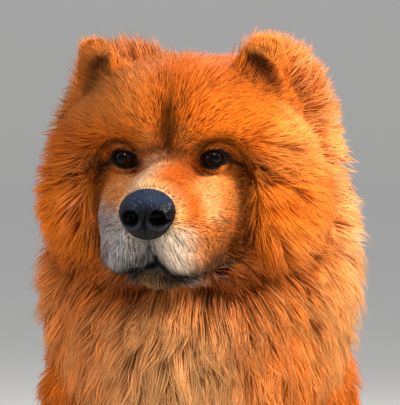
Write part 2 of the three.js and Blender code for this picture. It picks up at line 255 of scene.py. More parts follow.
def ear_form(q, side, k):
    height = ear_frame(side)[2]
    e = to_ear(q, side)
    flat = 0.55 - 0.2 * k
    squeezed = e / np.array((1, flat, 1))
    shell = taper(squeezed, (0, 0, -6), (0, 0, height), 37, 21, 5 * k) * flat
    cup = ear_cup(e, side)
    if k == 0:
        return press(4, shell, ball(cup, (0, -22, 0), (26, 17, 14)))
    return press(3, shell, ball(cup, (0, -15, 0), (29, 13, 16)))


def ruff_form(p, k):
    m = mirrored(p)
    ruff = ball(p, (0, -98, 474), (168, 92, 150), 44 * k)
    nape = ball(m, (64, -70, 596), (80, 60, 112), np.array((28, 24, 40)) * k)
    crest = ball(p, (0, -38, 572), (104, 84, 92), 30 * k)
    mane = ball(p, (0, -34, 520), (124, 116, 112), 34 * k)
    bib = ball(p, (0, -142, 424), (112, 76, 108), 40 * k)
    return melt(46, ruff, nape, crest, mane, bib)


def body_form(p, k):
    chest = ball(p, (0, -60, 368), (148, 116, 130), 34 * k)
    withers = ball(p, (0, 0, 422), (120, 120, 122), 26 * k)
    ribs = ball(p, (0, 78, 378), (152, 205, 160), 26 * k)
    loin = ball(p, (0, 186, 398), (136, 140, 140), 24 * k)
    rump = ball(p, (0, 264, 396), (136, 112, 138), 28 * k)
    return melt(46, chest, withers, ribs, loin, rump)


TOES = ((-24, 8), (-8.5, 0), (8.5, 0), (24, 8))


def fore_joints(side):
    x, back = side * 86, side * 8
    return {
        "shoulder": (side * 96, -52, 338),
        "elbow": (side * 94, 14 + back / 2, 262),
        "wrist": (x, 2 + back, 96),
        "toes": (x, -20 + back, 30),
    }


def hind_joints(side):
    x, back = side * 88, side * -12
    return {
        "hip": (side * 94, 262, 366),
        "stifle": (side * 98, 218 + back, 262),
        "hock": (x, 318 + back, 150),
        "heel": (x, 314 + back, 62),
        "toes": (x, 292 + back, 28),
    }


def paw_form(p, toes, k):
    x, y, z = toes
    pad = ball(p, (x, y + 2, z - 1), (37, 46, z + 0.5), np.array((6, 5, 0)) * k)
    parts = [ball(p, (x + a, y - 30 + b, z - 8), (12.5, 19, z - 6.5), np.array((2.5, 3, 0)) * k)
             for a, b in TOES]
    return melt(7 - 3 * k, pad, *parts)


def fore_form(p, side, k):
    j = fore_joints(side)
    e, w = j["elbow"], j["wrist"]
    upper = taper(p, j["shoulder"], e, 68, 54, 16 * k)
    forearm = taper(p, e, w, 50, 41, 13 * k)
    pastern = taper(p, w, j["toes"], 41, 35, 11 * k)
    feather = taper(p, (e[0], e[1] + 24, e[2] - 22), (w[0], w[1] + 20, 112), 36, 24, 20 * k)
    return melt(16, melt(22, upper, forearm, feather), pastern, paw_form(p, j["toes"], k))


def hind_form(p, side, k):
    j = hind_joints(side)
    hock = j["hock"]
    thigh = taper(p, j["hip"], j["stifle"], 84, 66, 20 * k)
    gaskin = taper(p, j["stifle"], hock, 62, 42, 16 * k)
    breeches = taper(p, (side * 84, 316, 338), (hock[0], hock[1] + 8, 206), 62, 40, 30 * k)
    rear = taper(p, hock, j["heel"], 41, 37, 13 * k)
    instep = taper(p, j["heel"], j["toes"], 37, 32, 9 * k)
    return melt(16, melt(26, thigh, gaskin, breeches), rear, instep, paw_form(p, j["toes"], k))


# Places along the tail's middle, each with the plume's depth there.
TAIL = (
    ((0, 300, 478), 46), ((0, 334, 528), 54), ((2, 326, 576), 56), ((8, 272, 596), 54),
    ((16, 208, 584), 50), ((24, 150, 570), 42), ((30, 96, 558), 26),
)
TAIL_FLATNESS = 0.66


def tail_form(p, k):
    squeeze = np.array((TAIL_FLATNESS, 1, 1))
    squeezed = p * squeeze.astype(p.dtype)
    parts = []
    for (a, deep_a), (b, deep_b) in zip(TAIL[:-1], TAIL[1:]):
        parts.append(taper(squeezed, a * squeeze, b * squeeze, deep_a, deep_b, 30 * k))
    if k == 0:
        parts.append(ball(p, (10, 218, 548), (66, 104, 56)))
        parts.append(ball(p, (4, 284, 540), (52, 50, 50)))
    return melt(14, *parts)


FAR = 90.0


def within(p, low, high, form):
    """A form worked out only near its own box, and FAR elsewhere."""
    out = np.full(len(p), FAR, p.dtype)
    close = ((p > np.array(low) - FAR) & (p < np.array(high) + FAR)).all(1)
    if close.any():
        out[close] = np.minimum(form(p[close]), FAR)
    return out


def both(form, k):
    return lambda p: np.minimum(form(p, 1, k), form(p, -1, k))


PARTS = ("head", "ear", "ruff", "trunk", "fore", "hind", "tail")


def groups(p, k):
    """The distance to each part of the animal."""
    q = to_head(p).astype(p.dtype)
    return {
        "head": within(q, (-134, -98, -118), (134, 150, 96), lambda r: head_form(r, k)),
        "ear": within(q, (-116, 10, 10), (116, 74, 112), both(ear_form, k)),
        "ruff": within(p, (-170, -222, 316), (170, 96, 712), lambda r: ruff_form(r, k)),
        "trunk": within(p, (-152, -178, 216), (152, 378, 548), lambda r: body_form(r, k)),
        "fore": within(p, (-166, -122, 0), (166, 90, 408), both(fore_form, k)),
        "hind": within(p, (-180, 190, 0), (180, 388, 452), both(hind_form, k)),
        "tail": within(p, (-84, 60, 430), (104, 392, 652), lambda r: tail_form(r, k)),
    }


def joined(g, k, high):
    """All parts as one; high is the height, because the hair bridges more below the crown."""
    body = melt(40, g["ruff"], g["trunk"])
    legs = np.minimum(g["fore"], g["hind"])
    body = melt(26, body, legs)
    body = melt(18, body, g["tail"])
    head = melt(8 + 8 * (1 - k), g["head"], g["ear"])
    bridge = 14 + 32 * step(-high, -640, -570)
    return melt(34 + (1 - k) * bridge, body, head)


def skin_field(p):
    whole = joined(groups(p, 1), 1, p[:, 2])
    return np.maximum(whole, 0.4 - p[:, 2])


def coat_field(p):
    return joined(groups(p, 0), 0, p[:, 2])


def in_pieces(field, p, size=60000):
    """A field's values at many places, a part of them at a time, to spare memory."""
    if len(p) <= size:
        return field(p)
    return np.concatenate([field(p[i:i + size]) for i in range(0, len(p), size)])


class Sampled:
    """A field kept on a regular grid, for quick values and slopes."""

    def __init__(self, field, low, high, pitch):
        self.low, self.pitch = np.array(low, float), pitch
        axes = [np.arange(a, b + pitch, pitch) for a, b in zip(low, high)]
        grid = np.stack(np.meshgrid(*axes, indexing="ij"), -1).reshape(-1, 3).astype(np.float32)
        self.values = in_pieces(field, grid).reshape([len(a) for a in axes])

    def __call__(self, p):
        v = self.values
        t = (p - self.low) / self.pitch
        i = np.clip(t.astype(int), 0, np.array(v.shape) - 2)
        f = np.clip(t - i, 0, 1)
        out = 0
        for corner in np.ndindex(2, 2, 2):
            share = np.prod(np.where(corner, f, 1 - f), 1)
            out = out + share * v[tuple((i + corner).T)]
        return out

    def slope(self, p):
        h = self.pitch / 2
        g = np.stack([self(p + h * axis) - self(p - h * axis) for axis in np.eye(3)], 1)
        return unit(g)


def slope(field, p, h=0.35):
    parts = [in_pieces(field, p + h * axis) - in_pieces(field, p - h * axis) for axis in np.eye(3)]
    g = np.stack(parts, 1) / (2 * h)
    return unit(g), length(g)


def settle(field, p, rounds=3, most=3.0):
    """Moves points on to a field's surface."""
    for _ in range(rounds):
        n, size = slope(field, p)
        move = np.clip(in_pieces(field, p) / np.maximum(size, 0.4), -most, most)
        p = p - n * move[:, None]
    return p


# Skin mesh
def surface_net(sampled):
    """A closed mesh of a field's zero surface: one vertex in each cell that it crosses."""
    v = sampled.values
    inside = v < 0
    count = np.zeros([n - 1 for n in v.shape])
    total = np.zeros(count.shape + (3,))
    for axis in range(3):
        for near in np.ndindex(2, 2, 2):
            if near[axis] == 1:
                continue
            far = [side + (a == axis) for a, side in enumerate(near)]
            one, two = (tuple(slice(o, o + n - 1) for o, n in zip(end, v.shape)) for end in (near, far))
            a, b = v[one], v[two]
            cross = inside[one] != inside[two]
            place = np.zeros(total.shape) + near
            place[..., axis] = np.where(cross, a / np.where(cross, a - b, 1), 0)
            total += place * cross[..., None]
            count += cross
    cells = count > 0
    index = np.full(cells.shape, -1)
    index[cells] = np.arange(cells.sum())
    base = np.argwhere(cells)
    verts = (base + total[cells] / count[cells][:, None]) * sampled.pitch + sampled.low
    quads = []
    for axis in range(3):
        b, c = (axis + 1) % 3, (axis + 2) % 3
        first = [slice(1, n - 1) for n in v.shape]
        first[axis] = slice(0, v.shape[axis] - 1)
        second = list(first)
        second[axis] = slice(1, v.shape[axis])
        flips = inside[tuple(first)].astype(int) - inside[tuple(second)].astype(int)
        at = np.argwhere(flips != 0)
        sign = flips[tuple(at.T)]
        at = at + np.array([0 if a == axis else 1 for a in range(3)])
        ring = []
        for db, dc in ((1, 1), (0, 1), (0, 0), (1, 0)):
            cell = at.copy()
            cell[:, b] -= db
            cell[:, c] -= dc
            ring.append(index[tuple(cell.T)])
        ring = np.stack(ring, 1)
        ring[sign < 0] = ring[sign < 0][:, ::-1]
        quads.append(ring)
    quads = np.concatenate(quads)
    tris = np.concatenate((quads[:, (0, 1, 2)], quads[:, (0, 2, 3)]))
    return verts, tris


def refine(verts, tris, chosen):
    """Splits every edge whose two ends are chosen, leaving no open joints."""
    pairs = np.sort(np.concatenate([tris[:, (0, 1)], tris[:, (1, 2)], tris[:, (2, 0)]]), 1)
    edges, back = np.unique(pairs, axis=0, return_inverse=True)
    back = back.reshape(3, -1).T
    split = chosen[edges].all(1)
    number = np.full(len(edges), -1)
    number[split] = len(verts) + np.arange(split.sum())
    verts = np.concatenate((verts, verts[edges[split]].mean(1)))
    mids = number[back]
    flags = (mids >= 0).sum(1)
    # Corners are 0 to 2; 3 to 5 are the middles of the edges that start at them.
    corners = np.concatenate((tris, mids), 1)
    ways = [(flags == 0, ((0, 1, 2),)), (flags == 3, ((0, 3, 5), (3, 1, 4), (5, 4, 2), (3, 4, 5)))]
    for a in range(3):
        b, c = (a + 1) % 3, (a + 2) % 3
        ab, bc = a + 3, b + 3
        ways.append(((flags == 1) & (mids[:, a] >= 0), ((a, ab, c), (ab, b, c))))
        ways.append(((flags == 2) & (mids[:, c] < 0), ((ab, b, bc), (a, ab, bc), (a, bc, c))))
    return verts, np.concatenate([corners[some][:, way] for some, split in ways for way in split])


def largest_piece(verts, tris):
    """The mesh's largest connected piece, without any loose specks."""
    label = np.arange(len(verts))
    while True:
        low = label[tris].min(1)
        new = label.copy()
        for k in range(3):
            np.minimum.at(new, tris[:, k], low)
        new = new[new]
        if (new == label).all():
            break
        label = new
    main = np.bincount(label).argmax()
    keep = label == main
    number = np.cumsum(keep) - 1
    return verts[keep], number[tris[keep[tris[:, 0]]]]


# How far back the splits of the face reach, and how far the face goes aside, down and up.
FACE_REACH, MUZZLE_REACH, SETTLE_REACH = 24, 4, 50
FACE_SIDE, FACE_BOTTOM, FACE_TOP = 104, -118, 70


def make_skin():
    """The skin's mesh, finer on the face and finest at the lids."""
    verts, tris = largest_piece(*surface_net(skin_grid))
    verts = settle(skin_field, verts.astype(np.float32), 2, 4.0)

    def face(q, reach):
        x, y, z = q.T
        return (y < reach) & (z > FACE_BOTTOM) & (np.abs(x) < FACE_SIDE) & (z < FACE_TOP)

    def fine(q):
        m = mirrored(q)
        eye = length(m - np.array((EYE_X, -6, 0))) < 19
        return eye | ((near_line(mouth_place(q)[0], MOUTH, 7.0) > 0.37) & (q[:, 1] < -2))

    def eyes(q):
        return length(mirrored(q) - np.array((EYE_X, -8, 0))) < 14.5

    for chosen in (lambda q: face(q, FACE_REACH), lambda q: face(q, MUZZLE_REACH), fine, eyes):
        some = chosen(to_head(verts))
        start = len(verts)
        verts, tris = refine(verts, tris, some)
        verts = verts.astype(np.float32)
        moved = face(to_head(verts), SETTLE_REACH)
        moved[:start] &= some
        verts[moved] = settle(skin_field, verts[moved], 3)
    return verts.astype(float), tris


# Colours and markings, with painted light and shade
def srgb(r, g, b):
    c = np.array((r, g, b)) / 255
    return np.where(c <= 0.04045, c / 12.92, ((c + 0.055) / 1.055) ** 2.4)


COPPER = srgb(212, 104, 8)
DEEP_RED = srgb(140, 48, 5)
GINGER = srgb(238, 122, 8)
ORANGE = srgb(200, 88, 0)
APRICOT = srgb(238, 152, 70)
PEACH = srgb(248, 192, 130)
CREAM = srgb(248, 230, 208)
# A dark brown used only for painted shade in folds, creases, the forehead furrow, the mouth corners and the
# ear hollows.
SHADE_BROWN = srgb(46, 18, 8)
BLACK_SKIN = srgb(10, 8, 8)
SLATE = srgb(58, 68, 88)
# Grey-white hair with painted blue shade in it.
SHADED_GREY = srgb(140, 148, 158)
ASH = srgb(150, 146, 142)
FAWN = srgb(226, 172, 112)
TAN = srgb(112, 76, 16)


def blend(base, other, share):
    return base + (other - base) * share[:, None]


MARKING_BLEND, HAIR_BLEND = 9.0, 14.0


def weights(g, soft=MARKING_BLEND):
    """How much each place belongs to each part, blended over about this many millimetres."""
    w = {name: np.exp(-np.clip(value, -60, 200) / soft) for name, value in g.items()}
    total = sum(w.values())
    return {name: value / total for name, value in w.items()}


def strongest(w):
    """The name of the part that each place belongs to most."""
    return np.array(PARTS)[np.stack([w[name] for name in PARTS]).argmax(0)]


def painted(base, *coats):
    """One colour for all rows, or each row's own, with others laid over it by their shares."""
    if np.ndim(base) == 1:
        base = np.tile(base, (len(coats[0][1]), 1))
    for colour, share in coats:
        base = blend(base, colour, share)
    return base


def ruff_colour(p):
    x, z = p[:, 0], p[:, 2]
    low = step(-z, -480, -400)
    side = step(-z, -650, -560)
    return painted(
        COPPER,
        # The right half of the ruff is painted golder, as painted light on the side the key light falls on.
        (GINGER, 0.9 * step(x, 0, 90)),
        (FAWN, 0.85 * bump(x + 15, 95) * low),
        (DEEP_RED, 0.3 * step(smooth_noise(p, 22, 11), 0.3, 1.0)),
        # The right of the chest is painted golder, as painted light on the side the light falls on.
        (GINGER, 0.6 * step(x, 15, 60) * low),
        (DEEP_RED, 0.5 * step(z, 590, 640)),
        (APRICOT, 0.45 * step(-x, 110, 160)),
        # The ruff's pale outer edge is the coat's own. On the right it is painted paler still, as painted
        # rim light.
        (APRICOT, 0.9 * step(x, 92, 128) * side),
        (PEACH, 0.55 * step(x, 118, 160) * side),
        (DEEP_RED, 0.4 * bump(x - 40, 40) * bump(z - 440, 50)),
    )


def head_colour(q, m):
    (x, y, z), a = q.T, m[:, 0]
    face = painted(
        COPPER * 0.95,
        (GINGER, 0.45 * step(x, 4, 40) * bump(z - 26, 26) * step(-y, -60, -10)),
        (DEEP_RED, 0.45 * step(z, 50, 84)),
        (APRICOT, 0.4 * step(-x, 6, 34) * step(z, 24, 44)),
        # The far right side of the head is painted paler, as painted rim light on that side.
        (APRICOT, 0.75 * step(x, 92, 116) * step(-z, -70, -30)),
        # Painted shade in the fold between temple and cheek, out from the outer eye corners.
        (DEEP_RED, 0.5 * step(a, 50, 78) * step(-a, -104, -84) * bump(z + 4, 20)),
        (GINGER, 0.8 * step(a, 66, 92) * bump(z + 52, 34)),
        (APRICOT, 0.6 * bump(a - 17, 8) * bump(z - 16, 14) * step(-y, -30, -4)),
        # Painted shade along the brow folds and the creases running out from the eyes.
        (SHADE_BROWN, 0.9 * near_line(m, BROW_FOLD, 2.6)),
        (SHADE_BROWN, 0.9 * near_line(m, EYE_LINE, 3.4) * step(-y, -60, -30)),
    )
    return lips_lids_and_painted_shade(q, m, muzzle_colour(q, m, face))


def muzzle_colour(q, m, face):
    """Pale on top of the nose, orange along the left of the bridge, a cream streak beside it painted paler
    as a highlight, and grey in front with painted blue shade on the left.
    """
    (x, y, z), a = q.T, m[:, 0]
    left = step(x, -2, 12) * step(-x, -50, -42) * step(-z, -4, 6) * step(z, -66, -46)
    cream_and_highlight_streak = near_line(m, ((37, -14), (46, -24), (52, -38), (54, -50)), 4.0)
    ring = length(q - np.array((0, -84, -40)))
    front = step(-z, 46, 62) * step(-y, 18, 46) * step(-a, -50, -26)
    _, middle = mouth_place(q)
    return painted(
        face,
        (APRICOT, 0.6 * (step(-y, -6, 14) * step(-z, -8, 4))),
        ((PEACH + CREAM) / 2, 0.85 * bump(x + 11, 14) * bump(z + 14, 15) * step(-y, -16, 0)),
        (ORANGE, 0.9 * left * step(-y, -18, 0) * step(y, -82, -70)),
        (GINGER, 0.6 * step(a, 42, 54) * bump(z + 58, 26) * step(-y, -20, 0)),
        # Cream hair beside the bridge, painted paler still as a highlight.
        (PEACH, 0.7 * cream_and_highlight_streak * step(-y, -30, -14)),
        (PEACH, 0.75 * bump(ring - 25, 7) * step(-y, 50, 62)),
        (CREAM, 0.9 * front),
        # Grey-white hair on the front left of the muzzle, tinted blue-grey as painted shade on the side away
        # from the key light.
        (SHADED_GREY, 0.8 * step(-x, 8, 26) * step(-z, 26, 46) * step(-y, 6, 42)),
        (SLATE, 0.8 * bump(middle + 1, 17) * step(-z, 52, 60) * step(-y, 36, 52)),
    )


def lips_lids_and_painted_shade(q, m, face):
    """Painted shade in the creases, along the forehead furrow, at the mouth corners and under the jaw; the
    chin's tan hair, painted darker for the shade beneath the lips; the black lips and eye rims.
    """
    (x, y, z), a = q.T, m[:, 0]
    mouth, middle = mouth_place(q)
    furrow_shade = bump(x - 1 - 0.03 * z, 5.6) * step(z, 0, 12) * step(-z, -84, -44)
    chin = step(-z, 92, 98) * step(-y, -6, 10)
    lower = near_line(mouth, [(u, v - 9) for u, v in MOUTH[2:]], 11.0) * step(-y, -30, -8)
    rim = length(m - np.array(EYE))
    tilt, along, _ = lid_place(m)
    almond = np.hypot((along - 1) / 14.6, (tilt + 0.4) / 9.2)
    return painted(
        face,
        # Painted shade in the crease beside the muzzle.
        (SHADE_BROWN, 0.93 * near_line(m, MUZZLE_CREASE, 8.0) * step(-y, -44, -24)),
        # Painted shadow at the corners of the mouth.
        (SHADE_BROWN * 0.5, 0.85 * bump(np.hypot(a - 62, z + 84), 13) * step(-y, -44, -20)),
        # Painted shade along the furrow down the middle of the forehead.
        (SHADE_BROWN * 0.5, 0.97 * furrow_shade),
        # The chin's tan hair, painted darker for the shade under the upper lip.
        (TAN, 0.9 * chin * step(-a, -30, -20)),
        (APRICOT, 0.8 * bump(np.hypot(a - 43, 1.3 * (z + 17)), 10) * step(-y, -34, -18)),
        (BLACK_SKIN * 1.6, 0.96 * lower),
        (BLACK_SKIN, 0.97 * near_line(mouth, MOUTH, 3.4) * step(-y, -26, -6)),
        (BLACK_SKIN, 0.9 * bump(np.hypot(middle / 10, (z + 91) / 5), 1) * step(-y, -12, 6)),
        (BLACK_SKIN, step(-almond, -1.16, -0.96) * step(-rim, -24, -19)),
        # Painted shade under the jaw, where it meets the ruff.
        (DEEP_RED * 0.7, 0.5 * step(-z, 96, 112) * step(y, -24, 4)),
    )


def ear_colour(q):
    ear = np.tile(COPPER, (len(q), 1))
    for side in (1, -1):
        e = to_ear(q, side)
        mine = q[:, 0] * side > 0
        cup = step(-ear_opening(e, side), -1.08, -0.86) * step(-e[:, 1], -4, 2)
        ear = painted(
            ear,
            (COPPER, 0.7 * step(e[:, 1], 2, 8) * mine),
            # Paler towards the ear tops, a painted highlight on their upper edges.
            (APRICOT, 0.5 * step(e[:, 2], 34, 52) * mine),
            # Painted shade in the hollow of each ear.
            (SHADE_BROWN * 0.16, 0.99 * cup * mine),
        )
    return ear


def markings_and_painted_light(p, w):
    """The coat's colour at rows of places on the skin, with painted light and shade in it."""
    q = to_head(p)
    x, y, z = p.T
    breech = step(y, 290, 340) * step(-z, -360, -300)
    body = painted(
        COPPER,
        (APRICOT, 0.55 * step(-z, -300, -150)),
        (DEEP_RED, 0.35 * bump(np.abs(x), 60) * step(z, 470, 530)),
    )
    legs = painted(COPPER, (APRICOT, 0.6 * step(-z, -120, -40)), (PEACH, 0.55 * breech))
    tail = painted(APRICOT * 0.5 + COPPER * 0.5, (PEACH, 0.5 * step(-y, -170, -90)))
    colour = (body * w["trunk"][:, None] + ruff_colour(p) * w["ruff"][:, None]
              + head_colour(q, mirrored(q)) * w["head"][:, None]
              + ear_colour(q) * w["ear"][:, None] + tail * w["tail"][:, None]
              + legs * (w["fore"] + w["hind"])[:, None])
    return np.clip(colour, 0.002, 1)


# Lie and length of the coat
def rows(x, y, z):
    return np.stack(np.broadcast_arrays(x, y, z), 1).astype(float)


def head_flow(q):
    m = mirrored(q)
    (x, y, z), a = q.T, m[:, 0]
    side = np.sign(x)
    rad = rows(x, 0.0, z + 16)
    rad /= (length(rad) + 12)[:, None]
    muzzle = step(-y, 0, 26) * step(-z, -14, 0)
    flow = rad * 0.9 + np.array((0, 0.7, 0))
    forehead = step(z, 4, 30)
    flow[:, 0] += side * 0.55 * forehead * step(a, 2, 14)
    cheek = step(a, 58, 80) * step(-z, 0, 36)
    flow += cheek[:, None] * rows(side * 0.2, 0.0, -0.9)
    snout = rows(0.35 * rad[:, 0], 1.0, 0.25 * rad[:, 2])
    sides = step(a, 16, 36)
    snout[:, 2] -= 0.45 * sides * step(-z, 34, 60)
    lip = step(-z, 54, 66) * step(-y, 40, 60)
    snout += lip[:, None] * rows(0.35 * np.clip(x / 20, -1, 1), -0.9, -1.0)
    chin = step(-z, 80, 90)
    snout += chin[:, None] * np.array((0, 0.2, -0.9))
    return flow * (1 - muzzle)[:, None] + snout * muzzle[:, None]


def ruff_flow(p):
    x, y, z = p.T
    rad = rows(x + 5, 0.0, z - 555)
    rad /= (length(rad) + 20)[:, None]
    top, low = step(z, 590, 650), step(-z, -520, -400)
    ruff = rad * (0.95 - 0.5 * low)[:, None]
    ruff = ruff + rows(0.0, 0.3 + 0.2 * top, -0.25 - 0.75 * low + 0.2 * top)
    behind = step(y, -60, 10)
    ruff = ruff * (1 - behind)[:, None] + behind[:, None] * rows(0.25 * np.sign(x), 0.9, -0.5)
    ruff[:, 0] += low * 0.25 * np.clip((x + 10) / 60, -1, 1) - low * 0.12
    return ruff


def tail_flow(p):
    """Along the tail, spreading to its sides, and down towards the back beneath it."""
    x, y, z = p.T
    tail, share = np.zeros_like(p), np.zeros(len(p))
    for (a, _), (b, _) in zip(TAIL[:-1], TAIL[1:]):
        a, b = np.array(a, float), np.array(b, float)
        near = np.exp(-(length(p - (a + b) / 2) / 34) ** 2) + 1e-9
        tail += near[:, None] * ((b - a) / length(b - a))
        share += near
    tail /= share[:, None]
    aside = np.clip((x - np.interp(-y, [-300, -96], [4, 30])) / 30, -1, 1)
    tail[:, 0] += 0.7 * aside
    under = step(-z, -594, -574)
    tail[:, 2] -= step(-y, -330, -300) * (0.55 * np.abs(aside) + 2.0 * under)
    return tail


def ear_flow(q):
    ear = np.zeros_like(q)
    for side in (1, -1):
        e = to_ear(q, side)
        lie = rows(np.clip(e[:, 0] / 26, -1, 1) * 0.7, 0.1, 1)
        ear += (q[:, 0] * side > 0)[:, None] * (lie @ ear_frame(side)[0].T)
    return ear


def flow_at(p, w):
    """Which way the hair lies at rows of places on the skin."""
    x, y, z = p.T
    q = to_head(p)
    flank = step(np.abs(x), 50, 110)
    trunk = rows(0.0, 1.0, -0.15 - 0.55 * flank)
    trunk += step(-y, 60, 150)[:, None] * np.array((0, -1.0, -1.0))
    fore = rows(0.0, 0.12 + 0.3 * step(y, 20, 50), -1.0)
    hind = rows(0.0, 0.2 + 0.35 * step(y, 270, 330), -1.0)
    foot = step(-z, -66, -40)
    for leg in (fore, hind):
        leg[:, 1] -= 0.9 * foot
        leg[:, 2] += 0.45 * foot
    lies = {
        "head": head_flow(q) @ HEAD_TURN.T, "ruff": ruff_flow(p), "trunk": trunk,
        "fore": fore, "hind": hind, "tail": tail_flow(p), "ear": ear_flow(q) @ HEAD_TURN.T,
    }
    return sum(lie * w[name][:, None] for name, lie in lies.items())


def mixed(w, **values):
    return sum(np.asarray(values[name]) * w[name] for name in PARTS)


def snout_share(q):
    """One on the muzzle and between the eyes, fading out over the face."""
    x, y, z = mirrored(q).T
    return step(-y, -10, 12) * step(-z, -14, 2) * step(-x, -72, -60)


def eye_clear(q):
    """Nought at the eyes, rising to one away from them."""
    return step(length(mirrored(q) - np.array((EYE_X + 1, -8, 2))), 13, 42)


def head_hair(q):
    """The length of the hair on the head, and where the ears' openings have less."""
    m = mirrored(q)
    (x, y, z), a = q.T, m[:, 0]
    long = 18 + 14 * step(z, 24, 70) + 22 * step(y, 20, 66) + 26 * step(a, 58, 96)
    snout = snout_share(q)
    short = 8.5 + 4 * step(-z, 56, 84) + 3 * step(a, 30, 56) * step(y, -40, -10)
    long = long * (1 - snout) + snout * short
    long = long * (0.34 + 0.66 * eye_clear(q))
    fold = np.maximum(near_line(m, BROW_FOLD[1:6], 5.0), near_line(m, EYE_LINE, 5.0))
    long = long * (1 - 0.5 * fold * step(-y, -40, -20))
    long = long + 22 * step(-z, 92, 108) * step(y, 4, 34)
    long = long * (1 - 0.5 * near_line(m, MUZZLE_CREASE, 9.0) * step(-y, -44, -24))
    long = long * (1 - 0.5 * bump(x - 2, 11) * step(z, 4, 14) * step(-z, -92, -60))
    cup = 0 * z
    for side in (1, -1):
        e = to_ear(q, side)
        mine, opening = x * side > 0, -ear_opening(e, side)
        before = step(opening, -2.4, -1.3) * step(-e[:, 1], 0, 8) * mine
        long = long * (1 - 0.55 * before)
        cup += step(-e[:, 1], -2, 4) * step(opening, -1.1, -0.9) * mine
    return long, cup


def coat_length(p, w):
    x, y, z = p.T
    head, cup = head_hair(to_head(p))
    ruff = 76 + 12 * step(-z, -450, -380) - 6 * step(z, 610, 660)
    trunk = 50 + 8 * step(np.abs(x), 60, 120)
    foot = step(-z, -70, -50)
    fore = 15 + 24 * step(z, 190, 300) + 22 * step(y, 24, 54) * step(z, 90, 140) - 5 * foot
    hind = 22 + 28 * step(z, 190, 300) + 34 * step(y, 280, 335) * step(z, 150, 210) - 11 * foot
    return mixed(w, head=head, ear=16 - 11 * cup, ruff=ruff, trunk=trunk, fore=fore, hind=hind, tail=84)


def coat_width(p, w, long):
    """Fine where the head and ruff are seen close to, broader on the rest of the body."""
    rear = step(p[:, 1], -110, 0) * (1 - w["head"] - w["ear"])
    share = np.maximum(rear, 0.7 * step(-p[:, 2], -330, -260))
    fine = 0.52 + 0.006 * long
    coarse = 1.7 + 0.036 * long
    wide = fine * (1 - share) + coarse * share
    return wide * (1 + 0.35 * snout_share(to_head(p)) * w["head"])


def coat_layers(p, w):
    """How many tufts lie over each spot."""
    front = step(-p[:, 1], -20, 80) * step(p[:, 2], 270, 340)
    plain = mixed(w, head=6.4, ear=5.5, ruff=7.5, trunk=7.0, fore=4.6, hind=4.8, tail=12.0)
    plain = plain * (1 - 0.3 * snout_share(to_head(p)) * w["head"])
    return plain * (1 + 0.7 * front * w["ruff"])


# Tufts
def scatter(verts, tris, normals, density):
    """Roots spread over the skin, more where density (each mm2) is high, and their normals."""
    a, b, c = (verts[tris[:, k]] for k in range(3))
    area = length(np.cross(b - a, c - a)) / 2
    share = np.cumsum(area * density((a + b + c) / 3))
    count = int(share[-1])
    at = (np.arange(count) + RANDOM.random(count)) * share[-1] / count
    pick = np.minimum(np.searchsorted(share, at), len(tris) - 1)
    u, v = RANDOM.random(count), RANDOM.random(count)
    over = u + v > 1
    u[over], v[over] = 1 - u[over], 1 - v[over]
    mix = np.stack((1 - u - v, u, v), 1)
    roots = np.einsum("nk,nkd->nd", mix, verts[tris[pick]])
    normal = np.einsum("nk,nkd->nd", mix, normals[tris[pick]])
    return roots, unit(normal)


def vertex_normals(verts, tris):
    a, b, c = (verts[tris[:, k]] for k in range(3))
    face = np.cross(b - a, c - a)
    total = np.zeros_like(verts)
    for k in range(3):
        for axis in range(3):
            total[:, axis] += np.bincount(tris[:, k], face[:, axis], len(verts))
    return unit(total, 1e-9)


# A full turn in radians, to three decimals.
FULL_TURN = 6.283


def smooth_noise(p, scale, seed):
    """Five crossed waves, which give the same value at the same place."""
    r = np.random.default_rng(seed)
    out = 0
    for _ in range(5):
        k = r.normal(size=3)
        k *= FULL_TURN / (scale * length(k)) * r.uniform(0.6, 1.6)
        out = out + np.sin(p @ k + r.uniform(0, FULL_TURN))
    return out / 3.2


def nearest(points, centres):
    tree = kdtree.KDTree(len(centres))
    for i, c in enumerate(centres):
        tree.insert(c, i)
    tree.balance()
    return np.array([tree.find(c)[1] for c in points])


